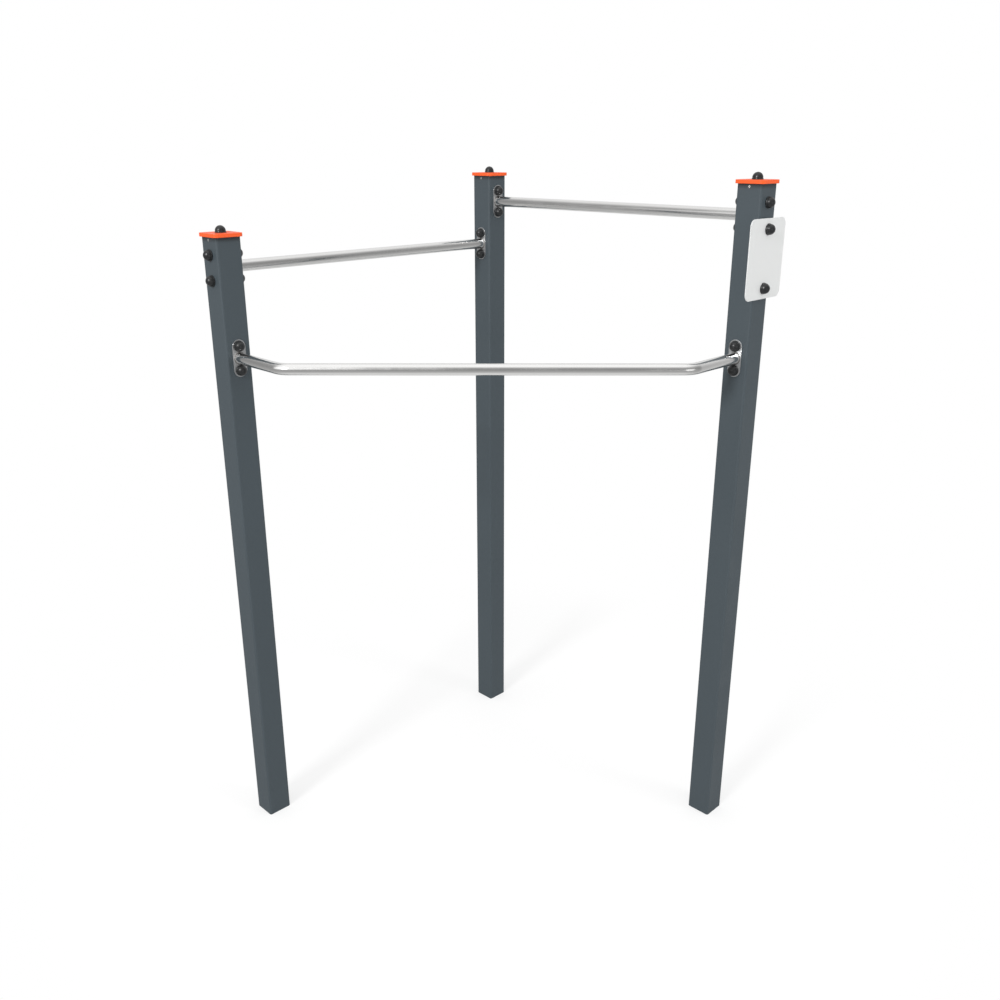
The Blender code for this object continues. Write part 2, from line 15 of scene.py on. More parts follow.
import bmesh
import bpy
import numpy as np
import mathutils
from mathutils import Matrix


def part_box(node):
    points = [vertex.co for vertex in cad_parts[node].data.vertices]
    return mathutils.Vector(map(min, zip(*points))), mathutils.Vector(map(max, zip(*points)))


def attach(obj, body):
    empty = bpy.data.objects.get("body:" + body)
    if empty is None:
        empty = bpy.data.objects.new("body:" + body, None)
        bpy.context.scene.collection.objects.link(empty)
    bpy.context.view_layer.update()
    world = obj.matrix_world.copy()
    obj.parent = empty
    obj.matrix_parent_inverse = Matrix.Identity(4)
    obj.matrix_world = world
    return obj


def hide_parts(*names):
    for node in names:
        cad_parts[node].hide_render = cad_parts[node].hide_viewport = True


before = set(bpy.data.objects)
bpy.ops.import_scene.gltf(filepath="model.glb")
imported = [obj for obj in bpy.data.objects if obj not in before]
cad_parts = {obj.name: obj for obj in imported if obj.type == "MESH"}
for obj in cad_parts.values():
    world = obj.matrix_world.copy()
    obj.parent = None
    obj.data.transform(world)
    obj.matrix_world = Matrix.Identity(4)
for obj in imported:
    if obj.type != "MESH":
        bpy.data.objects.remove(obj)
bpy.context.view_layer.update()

LOG = logging.getLogger("workout_station")

Colour = tuple[float, float, float]
Vector = tuple[float, float, float]
Pair = tuple[float, float]
Socket = bpy.types.NodeSocket
Inputs = Mapping[int | str, object]
Outputs = Mapping[str, Socket]

BODY = "root"

# Clearance between pieces that touch
SEAT_GAP = 0.0003
# Strip of a flat beside a rounding that takes up the rounding's change of shading
SUPPORT = 0.0006
# Points of a mesh that are closer than this are one point
SAME_POINT = 1e-6
# Points on the cut through a plate with two holes, and rows from hole to rim
CUT_POINTS = 10
FACE_ROWS = 4

# Steel of the posts
POST_SIDE = 0.100
POST_WALL = 0.004
POST_CORNER = 0.008

# Bolts through the bars' flanges
BOLT_SPACING = 0.090
BOLT_HOLE = 0.0132

UP = np.array([0.0, 0.0, 1.0])
BACKWARD = np.array([0.0, 1.0, 0.0])

# Marks on a mesh: edges and painted shade under the caps, a weld's heat, and the place on a
# straightened tube
EDGE_AND_SHADE = "edge"
HEAT = "heat"
LIE = "lie"


# Where things are


def middle_height(node: str) -> float:
    """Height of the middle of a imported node."""
    low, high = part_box(node)
    return (low.z + high.z) / 2


class Face(Enum):
    """The four faces of a post, each as the turn about Z of the way that it looks."""

    BACK_RIGHT = 45.0
    BACK_LEFT = 135.0
    FRONT_LEFT = 225.0
    FRONT_RIGHT = 315.0

    @property
    def outward(self) -> np.ndarray:
        """Unit vector that the face looks along."""
        turn = math.radians(self.value)
        return np.array([math.cos(turn), math.sin(turn), 0.0])

    @property
    def opposite(self) -> "Face":
        """The face on the other side of the post."""
        return Face((self.value + 180.0) % 360.0)


class Level(Enum):
    """The two bolts of a flange, each as its height above the bar's line."""

    UPPER = BOLT_SPACING / 2
    LOWER = -BOLT_SPACING / 2

    @property
    def label(self) -> str:
        """The level's word in the names of pieces."""
        return self.name.lower()


class Bar(Enum):
    """The three bars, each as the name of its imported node."""

    LOW = "low_bar"
    MIDDLE = "middle_bar"
    HIGH = "high_bar"


@dataclass(frozen=True)
class Placement:
    """A right-handed place: local x, y and z run along three unit vectors."""

    origin: np.ndarray
    x: np.ndarray
    y: np.ndarray
    z: np.ndarray

    def put(self, points: np.ndarray) -> np.ndarray:
        """World places of local points, whatever the shape of their array."""
        return self.origin + points @ np.stack([self.x, self.y, self.z])


@dataclass(frozen=True)
class Post:
    """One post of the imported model: its name, its axis and its height."""

    name: str

    @property
    def node(self) -> str:
        """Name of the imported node."""
        return f"post_{self.name}"

    @property
    def axis(self) -> np.ndarray:
        """Point on the ground under the middle of the post."""
        low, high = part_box(self.node)
        return np.array([(low.x + high.x) / 2, (low.y + high.y) / 2, 0.0])

    @property
    def height(self) -> float:
        """Height of the post's upper end."""
        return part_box(self.node)[1].z

    def on_face(self, face: Face, distance: float, height: float) -> Placement:
        """Place on a face of the post, with local x up and local z outward.

        Args:
            face: The face that the place looks out of.
            distance: How far the place is from the post's axis.
            height: Its height above the ground.

        Returns:
            The place, whose local y runs across the face.
        """
        out = face.outward
        across = np.cross(out, UP)
        return Placement(self.axis + out * distance + UP * height, UP, across, out)

    def on_top(self, above: float) -> Placement:
        """Place above the middle of the post's upper end, turned as the post is."""
        right, left = Face.BACK_RIGHT.outward, Face.BACK_LEFT.outward
        return Placement(self.axis + UP * (self.height + above), right, left, UP)


LEFT, BACK, RIGHT = Post("left"), Post("back"), Post("right")
POSTS = (LEFT, BACK, RIGHT)


@dataclass(frozen=True)
class BarEnd:
    """One bolted end of a bar, on one face of a post."""

    bar: Bar
    post: Post
    face: Face

    @property
    def label(self) -> str:
        """The end's words in the names of pieces."""
        return f"{self.bar.value}_{self.post.name}"

    @property
    def height(self) -> float:
        """Height of the bar's centreline."""
        return middle_height(self.bar.value)

    def place(self, distance: float) -> Placement:
        """Place on the bar's line, some way out from the post's axis."""
        return self.post.on_face(self.face, distance, self.height)


BAR_ENDS = (
    BarEnd(Bar.MIDDLE, LEFT, Face.BACK_RIGHT),
    BarEnd(Bar.MIDDLE, BACK, Face.FRONT_LEFT),
    BarEnd(Bar.HIGH, BACK, Face.FRONT_RIGHT),
    BarEnd(Bar.HIGH, RIGHT, Face.BACK_LEFT),
    BarEnd(Bar.LOW, LEFT, Face.FRONT_RIGHT),
    BarEnd(Bar.LOW, RIGHT, Face.FRONT_LEFT),
)


# Surfaces


@dataclass(frozen=True)
class Surface:
    """Points and four-cornered faces, with any marks that a finish reads from them."""

    points: np.ndarray
    quads: np.ndarray
    marks: Mapping[str, np.ndarray] = field(default_factory=dict)

    def placed(self, place: Placement) -> "Surface":
        """The same surface at a place."""
        return Surface(place.put(self.points), self.quads, self.marks)


def grid(
    points: np.ndarray,
    closed_rows: bool = False,
    closed_columns: bool = False,
    marks: Optional[Mapping[str, np.ndarray]] = None,
) -> Surface:
    """Faces over a grid of points, point (i, j) joined to (i + 1, j) and (i, j + 1).

    Args:
        points: Array of rows x columns x 3.
        closed_rows: Whether the last row is joined to the first.
        closed_columns: Whether the last column is joined to the first.
        marks: One value for each row, or a vector for each point, by name.

    Returns:
        The surface.
    """
    rows, columns = points.shape[:2]
    row, column = np.meshgrid(
        np.arange(rows if closed_rows else rows - 1),
        np.arange(columns if closed_columns else columns - 1),
        indexing="ij",
    )
    next_row, next_column = (row + 1) % rows, (column + 1) % columns
    corners = (
        row * columns + column,
        row * columns + next_column,
        next_row * columns + next_column,
        next_row * columns + column,
    )
    quads = np.stack(corners, axis=-1).reshape(-1, 4)
    flat = {
        name: np.repeat(value, columns) if value.ndim == 1 else value.reshape(-1, 3)
        for name, value in (marks or {}).items()
    }
    return Surface(points.reshape(-1, 3), quads, flat)


def turned(radius: float | np.ndarray, height: np.ndarray, sides: int) -> np.ndarray:
    """Rows of points once round local Z, each point (r cos t, r sin t, h).

    Args:
        radius: One radius, a column with one for each row, or one for each point.
        height: Heights, as a column or one for each point.
        sides: How many points there are in a row.

    Returns:
        Array of rows x sides x 3.
    """
    turn = np.linspace(0.0, 2 * np.pi, sides, endpoint=False)
    parts = np.broadcast_arrays(radius * np.cos(turn), radius * np.sin(turn), height)
    return np.stack(parts, axis=-1)


def revolved(profile: np.ndarray, sides: int, closed: bool = False) -> Surface:
    """A profile of points (radius, height), turned about local Z.

    Args:
        profile: The points.
        sides: How many steps there are in one turn.
        closed: Whether the profile's last point is joined to its first.

    Returns:
        The surface of revolution.
    """
    points = turned(profile[:, :1], profile[:, 1:], sides)
    return grid(points, closed_rows=closed, closed_columns=True)


def raised(rings: np.ndarray, heights: np.ndarray) -> np.ndarray:
    """Rows of points in plan, each row lifted to its own height."""
    levels = np.broadcast_to(heights[:, None, None], (*rings.shape[:2], 1))
    return np.concatenate([rings, levels], axis=-1)


def arc(centre: Pair, radius: float, start: float, end: float, steps: int) -> np.ndarray:
    """Points on an arc, centre + radius (cos a, sin a), with a in degrees, ends included."""
    angle = np.radians(np.linspace(start, end, steps + 1))
    return np.array(centre) + radius * np.stack([np.cos(angle), np.sin(angle)], axis=-1)


def joined(runs: Sequence[np.ndarray], counts: Sequence[int]) -> np.ndarray:
    """Runs of points one after another, with even points in the straights between.

    Args:
        runs: The runs.
        counts: How many points each straight has, with the ends of the runs beside it.

    Returns:
        All the points in order.
    """
    found = [runs[0]]
    for before, after, count in zip(runs, runs[1:], counts):
        found += [np.linspace(before[-1], after[0], count)[1:-1], after]
    return np.vstack(found)


@dataclass(frozen=True)
class RoundOutline:
    """Outline with round corners, as arc centres, directions from them and a radius.

    Moved inwards by d, point k is centre_k + (radius - d) direction_k, so that the
    flat sides stay parallel and the corners stay round.
    """

    centres: np.ndarray
    directions: np.ndarray
    radius: float

    @classmethod
    def rectangle(
        cls, length: float, width: float, corner: float, steps: int = 12
    ) -> "RoundOutline":
        """Rectangle with round corners, anticlockwise, its length along x.

        Args:
            length: Size along x.
            width: Size along y.
            corner: Radius of the corners.
            steps: How many steps there are in each quarter turn.

        Returns:
            The outline. Each flat side has two more points next to its ends.
        """
        centres, directions = [], []
        for quarter, (x, y) in enumerate(((1, 1), (-1, 1), (-1, -1), (1, -1))):
            centre = np.array([x * (length / 2 - corner), y * (width / 2 - corner)])
            angle = np.pi / 2 * (quarter + np.linspace(0, 1, steps + 1))
            ways = np.stack([np.cos(angle), np.sin(angle)], axis=-1)
            tangents = np.stack([-np.sin(angle), np.cos(angle)], axis=-1)
            places = np.repeat(centre[None], steps + 1, axis=0)
            before, after = centre - tangents[0] * SUPPORT, centre + tangents[-1] * SUPPORT
            incoming, outgoing = (width, length) if quarter % 2 == 0 else (length, width)
            if incoming / 2 - corner > 2 * SUPPORT:
                places, ways = np.vstack([before, places]), np.vstack([ways[0], ways])
            if outgoing / 2 - corner > 2 * SUPPORT:
                places, ways = np.vstack([places, after]), np.vstack([ways, ways[-1]])
            centres.append(places)
            directions.append(ways)
        return cls(np.vstack(centres), np.vstack(directions), corner)

    def at(self, inset: np.ndarray) -> np.ndarray:
        """The outline moved inwards, one row of points for each inset."""
        return self.centres + (self.radius - inset)[:, None, None] * self.directions

    def right_half(self) -> "RoundOutline":
        """The open half with x above zero.

        Returns:
            The half, whose points run from the lower cut round to the upper one.
        """
        quarter = len(self.centres) // 4
        chosen = np.concatenate([np.arange(3 * quarter, 4 * quarter), np.arange(quarter)])
        centres, ways = self.centres[chosen], self.directions[chosen]
        reach = np.abs(self.centres[:, 1]).max()
        cut = np.array([[0.0, -reach], [0.0, reach]])
        sides = np.array([[0.0, -1.0], [0.0, 1.0]])
        return RoundOutline(
            np.vstack([cut[:1], centres, cut[1:]]),
            np.vstack([sides[:1], ways, sides[1:]]),
            self.radius,
        )


def eased_edge(thickness: float, easing: float, steps: int = 4) -> np.ndarray:
    """Edge of a plate with both arrises rounded.

    Args:
        thickness: The plate's thickness, along local z from 0.
        easing: Radius of the rounding.
        steps: How many steps there are in each rounding.

    Returns:
        Points (inset, height) from the lower face, round the edge, to the upper face.
        Each flat has one more point next to the rounding.
    """
    turn = np.radians(np.linspace(0, 90, steps + 1))
    lower = np.stack([easing * (1 - np.sin(turn)), easing * (1 - np.cos(turn))], axis=-1)
    side = min(SUPPORT, (thickness / 2 - easing) / 2)
    return np.vstack(
        [
            (easing + SUPPORT, 0.0),
            lower,
            (0.0, easing + side),
            (0.0, thickness - easing - side),
            lower[::-1] * [1, -1] + [0, thickness],
            (easing + SUPPORT, thickness),
        ]
    )


def plate_with_hole(outline: RoundOutline, edge: np.ndarray, hole_radius: float) -> Surface:
    """Plate with a round hole through its middle, as one closed grid.

    Its rows go from the hole along the lower face, round the edge and back along the
    upper face. A point of the hole lies on the ray to the same point of the outline.

    Args:
        outline: The plate's outline.
        edge: Points (inset, height) of its edge, which carries the mark for edges.
        hole_radius: Radius of the hole.

    Returns:
        The plate's surface.
    """
    rings = outline.at(edge[:, 0])
    ways = rings[0] / np.linalg.norm(rings[0], axis=-1, keepdims=True)
    hole = raised(np.stack([ways * hole_radius] * 2), edge[[-1, 0], 1])
    points = np.concatenate([raised(rings, edge[:, 1]), hole])
    share = np.zeros(len(points))
    share[1 : len(edge) - 1] = 1.0
    return grid(points, closed_rows=True, closed_columns=True, marks={EDGE_AND_SHADE: share})


def plate_with_two_holes(
    outline: RoundOutline, edge: np.ndarray, hole_radius: float, hole_place: float
) -> list[Surface]:
    """Plate with two round holes on its long axis, as two halves that meet at x = 0.

    In each half, the faces are grids from the hole to the half's rim, the edge is the
    rim carried along the edge's profile, and the hole is a short tube.

    Args:
        outline: The plate's outline, its length along x.
        edge: Points (inset, height) of its edge, which carries the mark for edges.
        hole_radius: Radius of the holes.
        hole_place: Distance of each hole from the middle.

    Returns:
        The surfaces of both halves.
    """
    rings = outline.right_half().at(edge[:, 0])
    share = np.ones(len(edge))
    share[[0, -1]] = 0.0
    found = [grid(raised(rings, edge[:, 1]), marks={EDGE_AND_SHADE: share})]
    cut = np.linspace(rings[0, -1], rings[0, 0], CUT_POINTS)[1:-1]
    rim = np.vstack([rings[0], cut])
    middle = np.array([hole_place, 0.0])
    ways = (rim - middle) / np.linalg.norm(rim - middle, axis=-1, keepdims=True)
    hole = middle + ways * hole_radius
    face = hole + np.linspace(0, 1, FACE_ROWS)[:, None, None] * (rim - hole)
    low, high = edge[0, 1], edge[-1, 1]
    for rows, heights in (
        (face, np.full(len(face), low)),
        (face, np.full(len(face), high)),
        (np.stack([hole, hole]), np.array([low, high])),
    ):
        plain = {EDGE_AND_SHADE: np.zeros(len(rows))}
        found.append(grid(raised(rows, heights), closed_columns=True, marks=plain))
    half_turn = np.array([-1.0, -1.0, 1.0])
    return found + [Surface(part.points * half_turn, part.quads, part.marks) for part in found]


def tube_rows(path: np.ndarray, radius: float, sides: int) -> np.ndarray:
    """Rings of points round a level path.

    Ring i is path_i + radius (cos t across_i + sin t up), where across_i is square to
    the path's own direction there and lengthened where the path bends.

    Args:
        path: Points of the centreline, all at one height.
        radius: Radius of the rings.
        sides: How many points there are in each ring.

    Returns:
        Array of rings x sides x 3.
    """
    steps = np.diff(path, axis=0)
    steps /= np.linalg.norm(steps, axis=1, keepdims=True)
    before = np.vstack([steps[:1], steps])
    after = np.vstack([steps, steps[-1:]])
    along = before + after
    along /= np.linalg.norm(along, axis=1, keepdims=True)
    mitre = 1 / np.sum(along * after, axis=1, keepdims=True)
    across = np.cross(along, UP) * mitre
    turn = np.linspace(0, 2 * np.pi, sides, endpoint=False)[:, None]
    circle = np.cos(turn) * across[:, None] + np.sin(turn) * UP
    return path[:, None] + radius * circle


# Effects and finishes

WHITE = (1.0, 1.0, 1.0, 1.0)

# Scale and detail of the noises in the effects
RELIEF_DETAIL = 2.5
PATCHES = (3.1, 3.0)
FLECKS = (420.0, 1.0)
CLOUD_DETAIL = 4.0
CLOUD_DISTORTION = 0.6
STREAKS = (85.0, 3.0)
DUST_PATCHES = (38.0, 4.0)

# How far streaks move the clouds, and where smears and dust start and are whole
STREAK_SHARE = 0.35
SMEAR_REACH = (0.38, 0.66)
DUST_REACH = (0.25, 0.75)
DUST_TILT = (0.35, 0.98)


def opaque(colour: Colour) -> tuple[float, ...]:
    """A colour with its fourth value, as sockets take it."""
    return (*colour, 1.0)


def grey(level: float) -> tuple[float, ...]:
    """An even grey, as sockets take it."""
    return opaque((level, level, level))


class Graph:
    """A tree of shader nodes that is filled node by node."""

    def __init__(self, tree: bpy.types.NodeTree) -> None:
        """Start on an emptied tree."""
        self.tree = tree
        tree.nodes.clear()

    def add(
        self, kind: str, sockets: Optional[Inputs] = None, **settings: object
    ) -> bpy.types.Node:
        """Add a shader node.

        Args:
            kind: Blender's name for the node, without its first word ShaderNode.
            sockets: Values or linked sockets, by the name or number of the input.
            settings: The node's other settings by name.

        Returns:
            The node.
        """
        made = self.tree.nodes.new(f"ShaderNode{kind}")
        for name, value in settings.items():
            setattr(made, name, value)
        for name, value in (sockets or {}).items():
            if isinstance(value, Socket):
                self.tree.links.new(value, made.inputs[name])
            else:
                made.inputs[name].default_value = value
        return made

    def math(self, operation: str, *values: object) -> Socket:
        """Result of a Math node on numbers or sockets."""
        return self.add("Math", dict(enumerate(values)), operation=operation).outputs[0]

    def vector(self, operation: str, sockets: Inputs, output: str = "Vector") -> Socket:
        """Result of a Vector Math node."""
        return self.add("VectorMath", sockets, operation=operation).outputs[output]

    def mix(self, factor: Socket, first: object, second: object) -> Socket:
        """Colour mixed from two, through the sockets that the node has for colours."""
        made = self.add("Mix", {0: factor, 6: first, 7: second}, data_type="RGBA")
        return made.outputs[2]

    def noise(
        self, place: Socket, scale: object, detail: float = 2.0, distortion: float = 0.0
    ) -> Socket:
        """Value of a noise, from 0 to 1.

        Args:
            place: What the noise is laid on.
            scale: Its cells in one metre, as a number or a socket.
            detail: How many finer noises are laid over it.
            distortion: How far it is warped.

        Returns:
            The value's socket.
        """
        sockets = {"Vector": place, "Scale": scale, "Detail": detail, "Distortion": distortion}
        return self.add("TexNoise", sockets).outputs["Fac"]

    def ramp(self, value: Socket, low: float, high: float) -> Socket:
        """A value carried smoothly from low..high to 0..1."""
        sockets = {"Value": value, "From Min": low, "From Max": high}
        return self.add("MapRange", sockets, interpolation_type="SMOOTHSTEP").outputs[0]

    def attribute(self, name: str, output: str = "Fac") -> Socket:
        """A mark of the mesh, as a number unless another output is named."""
        return self.add("Attribute", attribute_name=name).outputs[output]

    def effect(self, effect: "Effect", sockets: Inputs) -> Socket:
        """Output of an effect's node group."""
        return self.add("Group", sockets, node_tree=effect.group()).outputs[0]


def relief_height(graph: Graph, given: Outputs) -> Socket:
    """Height of a fine, even texture: a noise stretched along chosen axes."""
    stretched = graph.vector("MULTIPLY", {0: given["Place"], 1: given["Stretch"]})
    return graph.noise(stretched, given["Scale"], RELIEF_DETAIL)


def drifted_colour(graph: Graph, given: Outputs) -> Socket:
    """A colour made a little lighter and darker in soft patches and in fine flecks.

    It is multiplied by 1 + 2 (patch (n - 0.5) + fleck (m - 0.5)), where n and m are a
    coarse and a fine noise.

    Args:
        graph: The graph of the effect's group.
        given: The group's inputs.

    Returns:
        The colour's socket.
    """
    shares = []
    for share, cells in (("Patch", PATCHES), ("Fleck", FLECKS)):
        centred = graph.math("SUBTRACT", graph.noise(given["Place"], *cells), 0.5)
        shares.append(graph.math("MULTIPLY", centred, given[share]))
    gain = graph.math("MULTIPLY_ADD", graph.math("ADD", *shares), 2.0, 1.0)
    return graph.vector("SCALE", {0: given["Colour"], "Scale": gain})


def handling_mask(graph: Graph, given: Outputs) -> Socket:
    """Mask of faint smears and finger marks, in soft clouds broken by finer streaks.

    Args:
        graph: The graph of the effect's group.
        given: The group's inputs.

    Returns:
        The mask's socket.
    """
    cloud = graph.noise(given["Place"], given["Scale"], CLOUD_DETAIL, CLOUD_DISTORTION)
    streak = graph.math("SUBTRACT", graph.noise(given["Place"], *STREAKS), 0.5)
    return graph.ramp(graph.math("MULTIPLY_ADD", streak, STREAK_SHARE, cloud), *SMEAR_REACH)


def dust_mask(graph: Graph, given: Outputs) -> Socket:
    """Mask of thin dust, which lies on faces that look up, in uneven patches.

    Args:
        graph: The graph of the effect's group.
        given: The group's inputs.

    Returns:
        The mask's socket.
    """
    normal = graph.add("NewGeometry").outputs["Normal"]
    upward = graph.add("SeparateXYZ", {0: normal}).outputs["Z"]
    patch = graph.ramp(graph.noise(given["Place"], *DUST_PATCHES), *DUST_REACH)
    lying = graph.math("MULTIPLY", graph.ramp(upward, *DUST_TILT), patch)
    return graph.math("MULTIPLY", lying, given["Amount"])


@dataclass(frozen=True)
class EffectPlan:
    """An effect's name, what fills it, its output and its inputs besides its place.

    The output is given as (name, kind), and each input as (name, kind, value).
    """

    name: str
    fill: Callable[[Graph, Outputs], Socket]
    output: tuple[str, str]
    inputs: tuple[tuple[str, str, object], ...]


class Effect(Enum):
    """Effects that several finishes share, each one a node group."""

    RELIEF = EffectPlan(
        "fine relief",
        relief_height,
        ("Height", "Float"),
        (("Stretch", "Vector", (1.0, 1.0, 1.0)), ("Scale", "Float", 900.0)),
    )
    DRIFT = EffectPlan(
        "tone drift",
        drifted_colour,
        ("Colour", "Color"),
        (("Colour", "Color", grey(0.5)), ("Patch", "Float", 0.05), ("Fleck", "Float", 0.03)),
    )
    HANDLING = EffectPlan(
        "handling marks", handling_mask, ("Mask", "Float"), (("Scale", "Float", 9.0),)
    )
    DUST = EffectPlan("settled dust", dust_mask, ("Mask", "Float"), (("Amount", "Float", 0.2),))

    def group(self) -> bpy.types.NodeTree:
        """Find the effect's node group, or build it where this is its first use.

        Returns:
            The group's tree.
        """
        plan = self.value
        known = bpy.data.node_groups.get(plan.name)
        if known:
            return known
        tree = bpy.data.node_groups.new(plan.name, "ShaderNodeTree")
        for name, kind, value in (("Place", "Vector", (0.0, 0.0, 0.0)), *plan.inputs):
            taken = tree.interface.new_socket(
                name, in_out="INPUT", socket_type=f"NodeSocket{kind}"
            )
            taken.default_value = value
        name, kind = plan.output
        tree.interface.new_socket(name, in_out="OUTPUT", socket_type=f"NodeSocket{kind}")
        graph = Graph(tree)
        given = tree.nodes.new("NodeGroupInput").outputs
        result = tree.nodes.new("NodeGroupOutput").inputs[name]
        tree.links.new(plan.fill(graph, given), result)
        return tree


DUST_COLOUR = opaque((0.42, 0.40, 0.37))


@dataclass(frozen=True)
class Relief:
    """One layer of surface texture: its cells per metre, its depth and its stretch."""

    scale: float
    depth: float
    stretch: Vector = (1.0, 1.0, 1.0)


@dataclass(frozen=True)
class Finish:
    """A surface finish. Its material is built once, from object-space patterns."""

    name: str
    slot: str
    colour: Colour
    roughness: float
    patch: float
    fleck: float
    smear: float
    smear_scale: float
    reliefs: tuple[Relief, ...]
    metallic: float = 0.0
    dust: float = 0.0
    follows: Optional[str] = None
    edge_colour: Optional[Colour] = None
    heat_tint: Optional[Colour] = None

    @property
    def marks(self) -> tuple[str, ...]:
        """Names of the marks that the finish reads from a mesh."""
        uses = {EDGE_AND_SHADE: self.edge_colour, HEAT: self.heat_tint, LIE: self.follows}
        return tuple(mark for mark, use in uses.items() if use)

    def material(self) -> bpy.types.Material:
        """The finish's material, built when it is first used."""
        return bpy.data.materials.get(self.name) or self.build()

    def place(self, graph: Graph) -> Socket:
        """What the patterns are laid on: object space, or a mark that follows the shape.

        Args:
            graph: The material's graph.

        Returns:
            The place's socket.
        """
        if self.follows:
            return graph.attribute(self.follows, "Vector")
        return graph.add("TexCoord").outputs["Object"]

    def colour_of(self, graph: Graph, place: Socket) -> Socket:
        """Base colour with its edges and painted shade, heat tint, drift and dust.

        Args:
            graph: The material's graph.
            place: What the patterns are laid on.

        Returns:
            The colour's socket.
        """
        base: object = opaque(self.colour)
        for mark, colour in ((EDGE_AND_SHADE, self.edge_colour), (HEAT, self.heat_tint)):
            if colour:
                base = graph.mix(graph.attribute(mark), base, opaque(colour))
        shares = {"Place": place, "Colour": base, "Patch": self.patch, "Fleck": self.fleck}
        drifted = graph.effect(Effect.DRIFT, shares)
        if not self.dust:
            return drifted
        dust = graph.effect(Effect.DUST, {"Place": place, "Amount": self.dust})
        return graph.mix(dust, drifted, DUST_COLOUR)

    def normal_of(self, graph: Graph, place: Socket) -> Socket:
        """Normal bent by every relief in turn.

        Args:
            graph: The material's graph.
            place: What the patterns are laid on.

        Returns:
            The normal's socket.
        """
        below: dict[str, Socket] = {}
        for relief in self.reliefs:
            shape = {"Place": place, "Stretch": relief.stretch, "Scale": relief.scale}
            height = graph.effect(Effect.RELIEF, shape)
            sockets = {"Height": height, "Distance": relief.depth, "Strength": 1.0, **below}
            below = {"Normal": graph.add("Bump", sockets).outputs["Normal"]}
        return below["Normal"]

    def build(self) -> bpy.types.Material:
        """Make the material.

        Returns:
            The material, its roughness raised where the finish is smeared.
        """
        made = bpy.data.materials.new(self.name)
        made.use_nodes = True
        made.diffuse_color = opaque(self.colour)
        made.roughness = self.roughness
        made.metallic = self.metallic
        graph = Graph(made.node_tree)
        place = self.place(graph)
        smears = graph.effect(Effect.HANDLING, {"Place": place, "Scale": self.smear_scale})
        sockets = {
            "Base Color": self.colour_of(graph, place),
            "Roughness": graph.math("MULTIPLY_ADD", smears, self.smear, self.roughness),
            "Metallic": self.metallic,
            "Normal": self.normal_of(graph, place),
        }
        shader = graph.add("BsdfPrincipled", sockets)
        graph.add("OutputMaterial", {"Surface": shader.outputs[0]})
        return made


POWDER_COAT = Finish(
    "anthracite powder coat", "coated_steel", (0.060, 0.078, 0.090), roughness=0.46,
    patch=0.05, fleck=0.06, smear=0.10, smear_scale=4.0, dust=0.2,
    reliefs=(Relief(650.0, 0.00012), Relief(2600.0, 0.00003)),
    # On the posts, this darker colour is painted shade under the caps
    edge_colour=(0.026, 0.033, 0.038),
)
POLISHED_TUBE = Finish(
    "polished stainless tube", "stainless_steel", (0.93, 0.925, 0.915), roughness=0.14,
    patch=0.03, fleck=0.02, smear=0.07, smear_scale=7.0, metallic=1.0,
    reliefs=(Relief(1.0, 0.0000014, (2600.0, 60.0, 60.0)),),
    follows=LIE, heat_tint=(0.62, 0.53, 0.38),
)
BRUSHED_PLATE = Finish(
    "brushed stainless plate", "stainless_steel", (0.68, 0.69, 0.70), roughness=0.32,
    patch=0.03, fleck=0.04, smear=0.08, smear_scale=26.0, metallic=1.0,
    reliefs=(Relief(1.0, 0.00001, (2200.0, 2200.0, 45.0)),),
)
WELD_BEAD = Finish(
    "welded stainless bead", "stainless_steel", (0.30, 0.29, 0.28), roughness=0.55,
    patch=0.10, fleck=0.10, smear=0.12, smear_scale=60.0, metallic=1.0,
    reliefs=(Relief(1500.0, 0.00003),),
)
BRIGHT_ZINC = Finish(
    "bright zinc plating", "zinc_plated_steel", (0.58, 0.59, 0.61), roughness=0.30,
    patch=0.10, fleck=0.10, smear=0.12, smear_scale=70.0, metallic=1.0,
    reliefs=(Relief(1200.0, 0.00002),),
)
SCREW_STEEL = Finish(
    "stainless screw", "stainless_steel", (0.80, 0.80, 0.79), roughness=0.10,
    patch=0.04, fleck=0.04, smear=0.10, smear_scale=120.0, metallic=1.0,
    reliefs=(Relief(2500.0, 0.000008),),
)
ORANGE_SHEET = Finish(
    "orange polyethylene sheet", "orange_plastic", (0.95, 0.100, 0.010), roughness=0.42,
    patch=0.03, fleck=0.03, smear=0.12, smear_scale=22.0, dust=0.05,
    reliefs=(Relief(420.0, 0.00009), Relief(1800.0, 0.00003)),
    edge_colour=(0.96, 0.116, 0.016),
)
BLACK_MOULDING = Finish(
    "black polyamide moulding", "black_plastic", (0.015, 0.016, 0.017), roughness=0.28,
    patch=0.08, fleck=0.08, smear=0.12, smear_scale=60.0, dust=0.04,
    reliefs=(Relief(900.0, 0.00003), Relief(3200.0, 0.00001)),
)
GREY_MOULDING = Finish(
    "grey polypropylene moulding", "grey_plastic", (0.16, 0.17, 0.18), roughness=0.52,
    patch=0.05, fleck=0.06, smear=0.10, smear_scale=60.0,
    reliefs=(Relief(1100.0, 0.00004),),
)
WHITE_LAMINATE = Finish(
    "white laminate", "white_laminate", (0.765, 0.775, 0.770), roughness=0.36,
    patch=0.012, fleck=0.012, smear=0.10, smear_scale=11.0, dust=0.02,
    reliefs=(Relief(700.0, 0.00003),),
    edge_colour=(0.80, 0.81, 0.81),
)


# Pieces

# Angle in degrees above which an edge is shaded sharp
SHARP = 34.0


def add_object(name: str, data: bpy.types.ID) -> bpy.types.Object:
    """Put an object in the scene, at the origin.

    Args:
        name: The object's name.
        data: Its mesh, light or camera.

    Returns:
        The object.
    """
    made = bpy.data.objects.new(name, data)
    bpy.context.scene.collection.objects.link(made)
    return made


